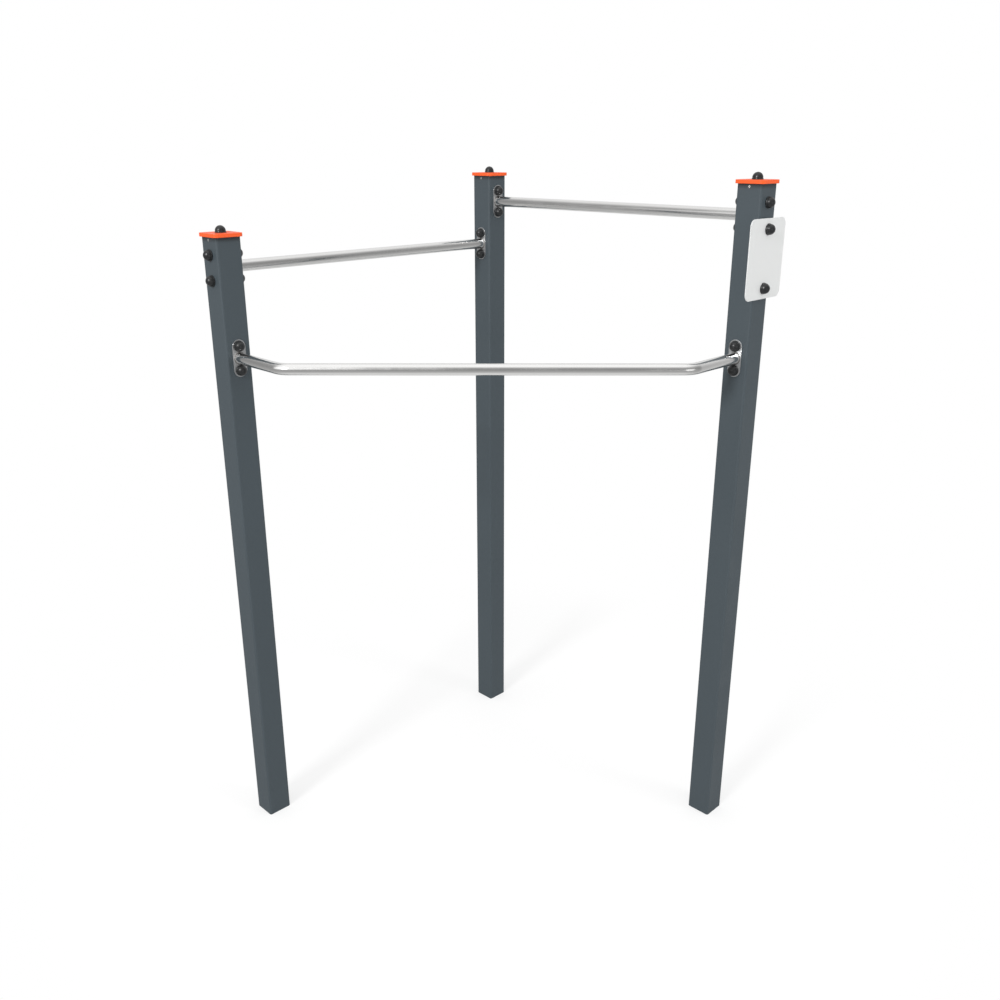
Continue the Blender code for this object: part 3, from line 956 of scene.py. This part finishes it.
def make_mesh(name: str, surfaces: Sequence[Surface], marks: Sequence[str]) -> bpy.types.Mesh:
    """Join surfaces into one mesh, with seams and poles joined and faces turned outward.

    Args:
        name: The mesh's name.
        surfaces: The surfaces, at their places in the world.
        marks: Names of the marks that the mesh takes over from them.

    Returns:
        The mesh.
    """
    starts = np.cumsum([0] + [len(part.points) for part in surfaces[:-1]])
    points = np.concatenate([part.points for part in surfaces])
    quads = np.concatenate([part.quads + start for part, start in zip(surfaces, starts)])
    mesh = bpy.data.meshes.new(name)
    mesh.vertices.add(len(points))
    mesh.vertices.foreach_set("co", points.astype(np.float32).ravel())
    mesh.loops.add(quads.size)
    mesh.loops.foreach_set("vertex_index", quads.astype(np.int32).ravel())
    mesh.polygons.add(len(quads))
    mesh.polygons.foreach_set("loop_start", np.arange(0, quads.size, 4, dtype=np.int32))
    mesh.update(calc_edges=True)
    for mark in marks:
        values = np.concatenate([part.marks[mark] for part in surfaces]).astype(np.float32)
        kind, key = ("FLOAT_VECTOR", "vector") if values.ndim == 2 else ("FLOAT", "value")
        mesh.attributes.new(mark, kind, "POINT").data.foreach_set(key, values.ravel())
    shape = bmesh.new()
    shape.from_mesh(mesh)
    bmesh.ops.remove_doubles(shape, verts=shape.verts, dist=SAME_POINT)
    bmesh.ops.recalc_face_normals(shape, faces=shape.faces)
    shape.to_mesh(mesh)
    shape.free()
    return mesh


def make_piece(
    name: str,
    surfaces: Sequence[Surface],
    finish: Finish,
    replaces: Sequence[str] = (),
    sharp: float = SHARP,
) -> bpy.types.Object:
    """Turn surfaces into one piece that rides on the station.

    Args:
        name: The piece's name.
        surfaces: Its surfaces, at their places in the world.
        finish: Its finish.
        replaces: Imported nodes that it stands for.
        sharp: Angle in degrees above which an edge is shaded sharp.

    Returns:
        The piece's object, at the origin.
    """
    mesh = make_mesh(name, surfaces, finish.marks)
    mesh.shade_smooth()
    mesh.set_sharp_from_angle(angle=math.radians(sharp))
    mesh.materials.append(finish.material())
    made = add_object(name, mesh)
    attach(made, BODY)
    if replaces:
        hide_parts(*replaces)
    LOG.info("%s: %d faces", name, len(mesh.polygons))
    return made


@dataclass(frozen=True)
class PostTubes:
    """The three posts: rounded square tube, cut plain at both ends.

    A band of painted shade lies under each cap, where the cap's overhang shades the post.
    It is given as (distance below the post's upper end, share of painted shade), from
    the end down.
    """

    end_easing: float = 0.0004
    rows: int = 26
    rows_from_end: float = 0.05
    painted_shade: tuple[Pair, ...] = ((0.003, 1.0), (0.007, 0.8), (0.012, 0.4), (0.018, 0.0))

    def surface(self, post: Post) -> Surface:
        """Outside, upper end, inside and lower end of the tube as one closed grid.

        Row k is the rounded square moved inwards by inset_k, at height_k, and its mark
        for edges is the share of painted shade there.

        Args:
            post: The post.

        Returns:
            The tube's surface.
        """
        outline = RoundOutline.rectangle(POST_SIDE, POST_SIDE, POST_CORNER)
        easing, height = self.end_easing, post.height
        even = np.linspace(self.rows_from_end, height - self.rows_from_end, self.rows)
        rows = [
            (easing, 0.0, 0.0),
            (0.0, easing, 0.0),
            *((0.0, level, 0.0) for level in even),
            # Rows under the upper end darken the coat into painted shade beneath the cap
            *((0.0, height - below, share) for below, share in reversed(self.painted_shade)),
            (0.0, height - easing, 1.0),
            (easing, height, 1.0),
            (POST_WALL, height, 1.0),
            (POST_WALL, 0.0, 0.0),
        ]
        inset, level, painted_shade = np.array(rows).T
        points = raised(outline.at(inset), level)
        tube = grid(points, closed_rows=True, closed_columns=True, marks={EDGE_AND_SHADE: painted_shade})
        return tube.placed(post.on_top(-post.height))

    def build(self) -> None:
        """Put the three posts in the scene."""
        for post in POSTS:
            make_piece(f"{post.node}_tube", [self.surface(post)], POWDER_COAT, [post.node])


@dataclass(frozen=True)
class PostCaps:
    """The square caps over the posts, cut from thick plastic sheet."""

    overhang: float = 0.009
    thickness: float = 0.013
    easing: float = 0.0012
    hole_radius: float = 0.0056
    corner_steps: int = 16

    def build(self) -> None:
        """Put the three caps in the scene."""
        side, corner = POST_SIDE + 2 * self.overhang, POST_CORNER + self.overhang
        outline = RoundOutline.rectangle(side, side, corner, self.corner_steps)
        edge = eased_edge(self.thickness, self.easing)
        plate = plate_with_hole(outline, edge, self.hole_radius)
        for post in POSTS:
            node = f"post_cap_{post.name}"
            placed = plate.placed(post.on_top(SEAT_GAP))
            sheet = make_piece(f"{node}_sheet", [placed], ORANGE_SHEET, [node])
            # In the photograph, the bars mirror the studio but not the caps
            sheet.visible_glossy = False


@dataclass(frozen=True)
class BoltCovers:
    """The domed covers over every bolt's head and nut.

    The skirt sweeps from the dome out to the flat rim, with a fine step where the dome
    snaps over its seat. Its points are given as (distance outside the dome's radius,
    height above the rim). The crown is the part of the dome's circle above it, from
    one angle to another in degrees.
    """

    rim_radius: float = 0.0205
    rim_height: float = 0.0030
    dome_radius: float = 0.0190
    height: float = 0.0250
    dimple_radius: float = 0.0009
    dimple_depth: float = 0.0004
    crown: Pair = (86.0, 4.0)
    crown_steps: int = 22
    skirt: tuple[Pair, ...] = (
        (-0.00005, 0.0018),
        (0.00015, 0.0012),
        (0.0005, 0.00045),
        (0.0006, 0.0002),
        (0.0006, 0.0),
    )
    shoulder_easing: float = 0.0006
    shoulder_steps: int = 4
    foot_easing: float = 0.0003
    foot_steps: int = 3
    cavity_radius: float = 0.0130
    cavity_depth: float = 0.0165
    cavity_chamfer: float = 0.0010
    sides: int = 48

    def profile(self) -> np.ndarray:
        """Half section from the dome's top, down to the rim and up inside the cavity.

        Returns:
            Points (radius, height) above the cover's seat.
        """
        rim, top, dome = self.rim_radius, self.rim_height, self.dome_radius
        dimple = self.height - self.dimple_depth
        shoulder, foot = self.shoulder_easing, self.foot_easing
        inside, depth, chamfer = self.cavity_radius, self.cavity_depth, self.cavity_chamfer
        return np.vstack(
            [
                (0.0, dimple),
                (self.dimple_radius, dimple),
                arc((0.0, self.height - dome), dome, *self.crown, self.crown_steps),
                np.array(self.skirt) + (dome, top),
                arc((rim - shoulder, top - shoulder), shoulder, 90.0, 0.0, self.shoulder_steps),
                arc((rim - foot, foot), foot, 0.0, -90.0, self.foot_steps),
                (inside, 0.0),
                (inside, depth - chamfer),
                (inside - chamfer, depth),
                (0.0, depth),
            ]
        )

    def places(self) -> Iterator[tuple[str, Placement]]:
        """Work out where every cover is.

        Returns:
            Pairs of a packed cover's name and its place, one after another.
        """
        for end in BAR_ENDS:
            for level in Level:
                name, height = f"{end.label}_{level.label}", end.height + level.value
                yield self.seated(f"{name}_cover", end.post, end.face, height)
                yield self.seated(f"{name}_nut_cover", end.post, end.face.opposite, height)
        name = "plate_lower_cover"
        yield self.seated(name, RIGHT, Face.FRONT_RIGHT, middle_height(name))
        for post in POSTS:
            name = f"cap_cover_{post.name}"
            yield name, post.on_top(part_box(name)[0].z - post.height)

    @staticmethod
    def seated(name: str, post: Post, face: Face, height: float) -> tuple[str, Placement]:
        """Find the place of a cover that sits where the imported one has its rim.

        Args:
            name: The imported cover's name.
            post: The post that the cover is on.
            face: The face that it looks out of.
            height: Its middle's height above the ground.

        Returns:
            The name and the place.
        """
        points = np.array([vertex.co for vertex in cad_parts[name].data.vertices])
        distance = float(((points - post.axis) @ face.outward).min())
        return name, post.on_face(face, distance, height)

    def build(self) -> None:
        """Put every cover in the scene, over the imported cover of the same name."""
        cover = revolved(self.profile(), self.sides)
        for name, place in self.places():
            make_piece(f"{name}_shell", [cover.placed(place)], BLACK_MOULDING, [name])


@dataclass(frozen=True)
class Bars:
    """The three bars: stainless tube with a flange welded to each end.

    The tube has close-set rows where the weld's heat reached, given as distances from
    the flange.
    """

    radius: float = 0.0212
    wall: float = 0.0026
    sides: int = 72
    standout: float = 0.273
    bend_radius: float = 0.075
    bend_steps: int = 30
    close_rows: tuple[float, ...] = (
        0.0, 0.001, 0.002, 0.003, 0.0045, 0.006, 0.008, 0.010, 0.013, 0.02, 0.04
    )
    straight_points: int = 24
    bent_run_points: int = 20
    stub_points: int = 5
    flange_length: float = 0.138
    flange_width: float = 0.054
    flange_thickness: float = 0.004
    flange_easing: float = 0.0006
    flange_steps: int = 20
    weld_leg: float = 0.0024
    weld_gap: float = 0.00005
    weld_fill: float = 1.25
    weld_steps: int = 8
    weld_ripples: int = 64
    ripple_steps: int = 10
    ripple_swell: float = 0.02
    ripple_lean: float = 1.6
    weld_sharp: float = 60.0
    heat_reach: float = 0.012
    heat_fade: float = 1.5

    def path(self, first: BarEnd, last: BarEnd) -> np.ndarray:
        """Centreline between two ends, from flange to flange.

        The low bar's line leaves each post square to its face and bends to run between
        them: its corner is the standout from the face, rounded by the bend radius.

        Args:
            first: The end that the line starts from.
            last: The end that it goes to.

        Returns:
            The line's points.
        """
        out = POST_SIDE / 2 + SEAT_GAP + self.flange_thickness
        close = np.array(self.close_rows)[:, None]
        opening, closing = (
            end.place(out).origin + close * end.face.outward for end in (first, last)
        )
        if first.bar is not Bar.LOW:
            return joined([opening, closing[::-1]], [self.straight_points])
        runs = [opening, self.bend(first), self.bend(last)[::-1], closing[::-1]]
        return joined(runs, [self.stub_points, self.bent_run_points, self.stub_points])

    def bend(self, end: BarEnd) -> np.ndarray:
        """Arc that turns a stub of the low bar into its straight run.

        Point k is centre + radius (sin t inward - cos t backward), with t up to 0.

        Args:
            end: The stub's end of the bar.

        Returns:
            The arc's points, from the stub on.
        """
        corner = end.place(POST_SIDE / 2 + self.standout).origin
        inward = np.array([math.copysign(1.0, end.face.outward[0]), 0.0, 0.0])
        half_turn = math.acos(float(end.face.outward @ inward)) / 2
        tangent = self.bend_radius * math.tan(half_turn)
        centre = corner + inward * tangent + BACKWARD * self.bend_radius
        turn = np.linspace(-2 * half_turn, 0.0, self.bend_steps + 1)[:, None]
        return centre + self.bend_radius * (np.sin(turn) * inward - np.cos(turn) * BACKWARD)

    def tube(self, first: BarEnd, last: BarEnd) -> Surface:
        """Outside and inside of the tube, joined at both ends.

        The mark for the lie is each point's place on the straightened tube, (distance
        along it, r cos t, r sin t). The mark for heat fades from 1 at each weld to 0.

        Args:
            first: The end that the tube starts from.
            last: The end that it goes to.

        Returns:
            The tube's surface.
        """
        path = self.path(first, last)
        steps = np.linalg.norm(np.diff(path, axis=0), axis=1)
        length = np.concatenate([[0.0], np.cumsum(steps)])
        from_end = np.minimum(length, length[-1] - length)
        heat = np.clip(1 - from_end / self.heat_reach, 0, 1) ** self.heat_fade
        rows, lie = [], []
        for radius, order in ((self.radius, 1), (self.radius - self.wall, -1)):
            rows.append(tube_rows(path, radius, self.sides)[::order])
            lie.append(turned(radius, length[::order, None], self.sides)[..., [2, 0, 1]])
        marks = {LIE: np.concatenate(lie), HEAT: np.concatenate([heat, heat[::-1]])}
        return grid(np.concatenate(rows), closed_rows=True, closed_columns=True, marks=marks)

    def flange(self, end: BarEnd) -> list[Surface]:
        """Slot-shaped plate with a hole for each bolt.

        Args:
            end: The bar's end.

        Returns:
            The plate's surfaces.
        """
        length, width = self.flange_length, self.flange_width
        outline = RoundOutline.rectangle(length, width, width / 2, self.flange_steps)
        edge = eased_edge(self.flange_thickness, self.flange_easing)
        plates = plate_with_two_holes(outline, edge, BOLT_HOLE / 2, BOLT_SPACING / 2)
        return [plate.placed(end.place(POST_SIDE / 2 + SEAT_GAP)) for plate in plates]

    def weld(self, end: BarEnd) -> Surface:
        """Bead in the corner between tube and flange.

        At slope s, its section is (leg cos^f s, leg sin^f s) with the fill f. The leg
        swells and shrinks round the tube in even ripples that lean towards the tube.

        Args:
            end: The bar's end.

        Returns:
            The bead's surface.
        """
        count = self.ripple_steps * self.weld_ripples
        turn = np.linspace(0, 2 * np.pi, count, endpoint=False)
        slope = np.radians(np.linspace(0, 90, self.weld_steps + 1))[:, None]
        ripple = np.cos(self.weld_ripples * turn + self.ripple_lean * np.sin(slope))
        leg = self.weld_leg * (1 - self.ripple_swell * (1 - ripple))
        near, low = self.radius + self.weld_gap, self.weld_gap
        radius = np.vstack([near + leg * np.cos(slope) ** self.weld_fill, np.full(count, near)])
        height = np.vstack([low + leg * np.sin(slope) ** self.weld_fill, np.full(count, low)])
        seat = end.place(POST_SIDE / 2 + SEAT_GAP + self.flange_thickness)
        bead = grid(turned(radius, height, count), closed_rows=True, closed_columns=True)
        return bead.placed(seat)

    def build(self) -> None:
        """Put the three bars in the scene."""
        for first, last in zip(BAR_ENDS[::2], BAR_ENDS[1::2]):
            node = first.bar.value
            make_piece(f"{node}_tube", [self.tube(first, last)], POLISHED_TUBE, [node])
            for end in (first, last):
                make_piece(f"{end.label}_flange", self.flange(end), BRUSHED_PLATE)
                bead = [self.weld(end)]
                make_piece(f"{end.label}_weld", bead, WELD_BEAD, sharp=self.weld_sharp)


@dataclass(frozen=True)
class BlankPlate:
    """The blank plate on the front right post, with the two spacers behind it."""

    length: float = 0.280
    width: float = 0.230
    corner: float = 0.025
    corner_steps: int = 16
    thickness: float = 0.003
    easing: float = 0.0005
    bolt_spacing: float = 0.205
    spacer_radius: float = 0.015
    spacer_thickness: float = 0.006
    spacer_chamfer: float = 0.0005
    spacer_sides: int = 48

    @staticmethod
    def place(node: str, above: float = 0.0) -> Placement:
        """Place on the post's face, or above it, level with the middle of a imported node."""
        distance = POST_SIDE / 2 + SEAT_GAP + above
        return RIGHT.on_face(Face.FRONT_RIGHT, distance, middle_height(node))

    def sheet(self) -> list[Surface]:
        """The plate, clear of the post by the spacers, with a hole for each bolt.

        Returns:
            The plate's surfaces.
        """
        outline = RoundOutline.rectangle(self.length, self.width, self.corner, self.corner_steps)
        edge = eased_edge(self.thickness, self.easing)
        place = self.place("blank_plate", self.spacer_thickness + SEAT_GAP)
        plates = plate_with_two_holes(outline, edge, BOLT_HOLE / 2, self.bolt_spacing / 2)
        return [plate.placed(place) for plate in plates]

    def spacer(self) -> Surface:
        """Flat ring with chamfered arrises.

        Returns:
            One spacer's surface, at the origin.
        """
        rim, bore = self.spacer_radius, BOLT_HOLE / 2
        depth, chamfer = self.spacer_thickness, self.spacer_chamfer
        profile = [
            (bore, 0.0),
            (rim - chamfer, 0.0),
            (rim, chamfer),
            (rim, depth - chamfer),
            (rim - chamfer, depth),
            (bore, depth),
        ]
        return revolved(np.array(profile), self.spacer_sides, closed=True)

    def build(self) -> None:
        """Put the plate and its spacers in the scene."""
        make_piece("blank_plate_sheet", self.sheet(), WHITE_LAMINATE, ["blank_plate"])
        for level in Level:
            node = f"plate_spacer_{level.label}"
            ring = self.spacer().placed(self.place(node))
            make_piece(f"{node}_ring", [ring], GREY_MOULDING, [node])


@dataclass(frozen=True)
class RetainingScrews:
    """The small screw near each post's top that holds the insert under the cap."""

    below_top: float = 0.010
    head_radius: float = 0.0050
    head_side: float = 0.0010
    head_gap: float = 0.0002
    arris: float = 0.0001
    dome_radius: float = 0.0300
    dome_steps: int = 8
    shank_radius: float = 0.0020
    shank_length: float = 0.009
    tip_length: float = 0.0008
    tip_share: float = 0.7
    socket_radius: float = 0.0016
    socket_depth: float = 0.0013
    socket_brim: float = 1.08
    socket_taper: float = 0.94
    sides: int = 48

    def profile(self) -> np.ndarray:
        """Half section from the shank's tip, over the head and down into the socket.

        The head's top is an arc of the dome, from the head's rim to the socket's brim.

        Returns:
            Points (radius, height) above the post's face.
        """
        head, shank, socket = self.head_radius, self.shank_radius, self.socket_radius
        rim = math.acos(head / self.dome_radius)
        brim = math.acos(socket * self.socket_brim / self.dome_radius)
        centre = (0.0, self.head_side - self.dome_radius * math.sin(rim))
        angles = (math.degrees(rim), math.degrees(brim))
        dome = arc(centre, self.dome_radius, *angles, self.dome_steps)
        top = dome[-1, 1]
        return np.vstack(
            [
                (0.0, -self.shank_length),
                (shank * self.tip_share, -self.shank_length),
                (shank, self.tip_length - self.shank_length),
                (shank, self.head_gap),
                (head - self.arris, self.head_gap),
                (head, self.head_gap + self.arris),
                (head, self.head_side - self.arris),
                dome,
                (socket, top),
                (socket * self.socket_taper, top - self.socket_depth),
                (0.0, top - self.socket_depth),
            ]
        )

    def surface(self) -> Surface:
        """Shank, button head and six-sided socket as one turned surface.

        The socket's rows are hexagons: their radius is r cos 30 / cos u, where u is the
        turn from the middle of the nearest side.

        Returns:
            The screw's surface.
        """
        profile = self.profile()
        side = np.pi / 3
        turn = np.linspace(0, 2 * np.pi, self.sides, endpoint=False)
        from_middle = (turn + side / 2) % side - side / 2
        shape = np.ones((len(profile), self.sides))
        shape[-3:-1] = math.cos(side / 2) / np.cos(from_middle)
        points = turned(profile[:, :1] * shape, profile[:, 1:], self.sides)
        return grid(points, closed_columns=True)

    def build(self) -> None:
        """Put the three screws in the scene."""
        screw = self.surface()
        for post in POSTS:
            place = post.on_face(Face.FRONT_LEFT, POST_SIDE / 2, post.height - self.below_top)
            make_piece(f"cap_screw_{post.name}", [screw.placed(place)], SCREW_STEEL)


def dress_hidden_nodes() -> None:
    """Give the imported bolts, nut and inserts, which keep their shapes, their finishes."""
    for name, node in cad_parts.items():
        if name.startswith("cap_insert_"):
            finish = GREY_MOULDING
        elif name.endswith("_bolt") or name.startswith("cap_bolt_") or name == "plate_weld_nut":
            finish = BRIGHT_ZINC
        else:
            continue
        if not node.material_slots:
            node.data.materials.append(None)
        for slot in node.material_slots:
            slot.material = finish.material()


# Studio


@dataclass(frozen=True)
class Lamp:
    """A soft square lamp that looks at a point."""

    name: str
    place: Vector
    target: Vector
    size: float
    power: float
    mirrored: bool = True

    def build(self) -> None:
        """Put the lamp in the scene."""
        data = bpy.data.lights.new(self.name, "AREA")
        data.size = self.size
        data.energy = self.power
        made = add_object(self.name, data)
        made.location = self.place
        made.visible_glossy = self.mirrored
        ray = np.array(self.target) - np.array(self.place)
        ray /= np.linalg.norm(ray)
        made.rotation_euler = (math.acos(-ray[2]), 0.0, math.atan2(-ray[0], ray[1]))


@dataclass(frozen=True)
class Studio:
    """Pale floor, white surroundings, lamps and the camera.

    A pair is where a soft mask starts and where it is whole, apart from the grain of
    the floor, (share, least), and the backdrop, its levels (below, above). What
    polished steel mirrors is given as (height of the direction, level).
    """

    floor_side: float = 60.0
    floor_colour: Colour = (0.40, 0.40, 0.40)
    floor_shadow: float = 0.75
    floor_level: float = 0.44
    grain_scale: float = 40.0
    grain: Pair = (0.01, 0.995)
    shadow_reach: float = 1.3
    shadow_fade: float = 1.6
    ambient: float = 0.81
    mirrored_levels: tuple[Pair, ...] = (
        (-1.0, 0.76), (-0.93, 0.62), (-0.75, 0.49), (-0.6, 0.41), (-0.35, 0.34), (0.0, 0.27),
        (0.2, 0.26), (0.5, 0.31), (0.7, 0.52), (0.8, 0.78), (0.92, 1.0),
    )
    window_side: Pair = (0.06, 0.28)
    window_rise: Pair = (-0.12, 0.20)
    glint_way: Vector = (0.57, -0.81, -0.05)
    glint_scale: Vector = (1.0, 1.0, 1.6)
    glint_reach: Pair = (0.44, 0.33)
    backdrop: Pair = (0.62, 0.82)
    backdrop_rise: Pair = (-0.4, 0.85)
    behind_way: Vector = (0.20, 1.0, 0.0)
    behind_reach: Pair = (0.1, 0.7)
    lamps: tuple[Lamp, ...] = (
        Lamp("key lamp", (-6.1, -8.7, 7.2), (0.0, 0.0, 1.2), 2.4, 720.0),
        Lamp("fill lamp", (8.0, -4.4, 3.3), (0.0, 0.0, 1.2), 3.0, 225.0, mirrored=False),
        Lamp("top lamp", (0.0, 0.0, 7.5), (0.0, 0.0, 0.0), 5.6, 40.0, mirrored=False),
    )
    lens: float = 35.1162
    sensor_width: float = 36.0
    clip_end: float = 200.0
    camera_place: Vector = (0.02422, -3.97474, 2.73247)
    camera_turn: Vector = (70.0577, -0.00927, 0.01191)

    def floor_material(self) -> bpy.types.Material:
        """Faintly grained ground that is white where it is seen, but for the shadow.

        Close to the station, what is seen is mixed from plain white and the lit ground
        with a glow that lifts it close to white. Farther away it is plain white.

        Returns:
            The material.
        """
        made = bpy.data.materials.new("pale floor")
        made.use_nodes = True
        graph = Graph(made.node_tree)
        place = graph.add("TexCoord").outputs["Object"]
        tone = graph.math("MULTIPLY_ADD", graph.noise(place, self.grain_scale), *self.grain)
        ground = graph.vector("SCALE", {0: self.floor_colour, "Scale": tone})
        ray = graph.add("LightPath").outputs
        seen = graph.math("MAXIMUM", ray["Is Camera Ray"], ray["Is Glossy Ray"])
        seen = graph.math("MAXIMUM", seen, ray["Is Transmission Ray"])
        lift = graph.math("MULTIPLY", seen, 1 - self.floor_level)
        lit = graph.add("BsdfDiffuse", {"Color": ground}).outputs[0]
        glow = graph.add("Emission", {"Color": WHITE, "Strength": lift}).outputs[0]
        shaded = graph.add("AddShader", {0: lit, 1: glow}).outputs[0]
        white = graph.add("Emission", {"Color": WHITE, "Strength": 1.0}).outputs[0]
        away = graph.vector("LENGTH", {0: place}, "Value")
        near = graph.ramp(away, self.shadow_reach * self.shadow_fade, self.shadow_reach)
        kept = graph.math("MULTIPLY", near, self.floor_shadow)
        share = graph.math("MULTIPLY", seen, graph.math("SUBTRACT", 1.0, kept))
        mixed = graph.add("MixShader", {0: share, 1: shaded, 2: white})
        graph.add("OutputMaterial", {"Surface": mixed.outputs[0]})
        return made

    def build_floor(self) -> None:
        """Put the level floor in the scene."""
        half = self.floor_side / 2
        corners = np.array([(-1, -1, 0), (1, -1, 0), (1, 1, 0), (-1, 1, 0)]) * half
        mesh = bpy.data.meshes.new("floor")
        mesh.from_pydata(corners.tolist(), [], [(0, 1, 2, 3)])
        mesh.materials.append(self.floor_material())
        floor = add_object("floor", mesh)
        floor.visible_glossy = False

    def level_at(self, graph: Graph, rise: Socket) -> Socket:
        """Grey for a direction's height, read from the mirrored levels.

        Args:
            graph: The world's graph.
            rise: The height, from -1 to 1.

        Returns:
            The grey's socket.
        """
        share = graph.math("MULTIPLY_ADD", rise, 0.5, 0.5)
        curve = graph.add("ValToRGB", {0: share})
        stops = curve.color_ramp.elements
        while len(stops) < len(self.mirrored_levels):
            stops.new(1.0)
        for stop, (height, level) in zip(stops, self.mirrored_levels):
            stop.position = (height + 1) / 2
            stop.color = grey(level)
        return curve.outputs["Color"]

    def window(self, graph: Graph, x: Socket, y: Socket, z: Socket) -> Socket:
        """Mask of the directions to a soft window in front on the left.

        Args:
            graph: The world's graph.
            x: The direction's part along X.
            y: Its part along Y.
            z: Its part along Z.

        Returns:
            The mask's socket.
        """
        left, front = (
            graph.ramp(graph.math("MULTIPLY", part, -1.0), *self.window_side) for part in (x, y)
        )
        side = graph.math("MULTIPLY", left, front)
        return graph.math("MULTIPLY", side, graph.ramp(z, *self.window_rise))

    def glint(self, graph: Graph, direction: Socket) -> Socket:
        """Mask of the directions to a small oval window in front on the right.

        Args:
            graph: The world's graph.
            direction: The direction.

        Returns:
            The mask's socket.
        """
        shift = -np.array(self.glint_way) * np.array(self.glint_scale)
        sockets = {0: direction, 1: self.glint_scale, 2: tuple(shift)}
        away = graph.vector("LENGTH", {0: graph.vector("MULTIPLY_ADD", sockets)}, "Value")
        return graph.ramp(away, *self.glint_reach)

    def mirrored(self, graph: Graph) -> Socket:
        """Level of the surroundings that polished steel mirrors, by direction.

        It changes with the height of the direction, is white in two soft windows in
        front, and is paler behind the station.

        Args:
            graph: The world's graph.

        Returns:
            The level's socket.
        """
        direction = graph.add("TexCoord").outputs["Generated"]
        x, y, z = graph.add("SeparateXYZ", {0: direction}).outputs
        white = graph.math("MAXIMUM", self.window(graph, x, y, z), self.glint(graph, direction))
        around = graph.mix(white, self.level_at(graph, z), WHITE)
        below, above = (grey(level) for level in self.backdrop)
        backdrop = graph.mix(graph.ramp(z, *self.backdrop_rise), below, above)
        behind = graph.vector("DOT_PRODUCT", {0: direction, 1: self.behind_way}, "Value")
        return graph.mix(graph.ramp(behind, *self.behind_reach), around, backdrop)

    def build_world(self) -> None:
        """Even soft light, white where it is seen, and graded where it is mirrored."""
        world = bpy.data.worlds.new("studio")
        bpy.context.scene.world = world
        world.use_nodes = True
        graph = Graph(world.node_tree)
        ray = graph.add("LightPath").outputs
        level = graph.mix(ray["Is Glossy Ray"], grey(self.ambient), self.mirrored(graph))
        direct = graph.math("MAXIMUM", ray["Is Camera Ray"], ray["Is Transmission Ray"])
        level = graph.mix(direct, level, WHITE)
        glow = graph.add("Background", {"Color": level, "Strength": 1.0})
        graph.add("OutputWorld", {"Surface": glow.outputs[0]})

    def build_camera(self) -> None:
        """Put the camera at the photograph's place."""
        data = bpy.data.cameras.new("camera")
        data.lens = self.lens
        data.sensor_width = self.sensor_width
        data.clip_end = self.clip_end
        camera = add_object("camera", data)
        camera.location = self.camera_place
        camera.rotation_euler = tuple(math.radians(angle) for angle in self.camera_turn)
        bpy.context.scene.camera = camera

    def build(self) -> None:
        """Put the whole studio in the scene."""
        bpy.context.scene.view_settings.view_transform = "Standard"
        self.build_floor()
        self.build_world()
        self.build_camera()
        for lamp in self.lamps:
            lamp.build()


def main() -> None:
    """Dress the station piece by piece, and set up the studio."""
    logging.basicConfig(level=logging.INFO, format="%(name)s: %(message)s")
    for part in (PostTubes(), PostCaps(), BoltCovers(), Bars(), BlankPlate(), RetainingScrews()):
        LOG.info("building %s", type(part).__name__)
        part.build()
    dress_hidden_nodes()
    Studio().build()


if __name__ == "__main__":
    main()
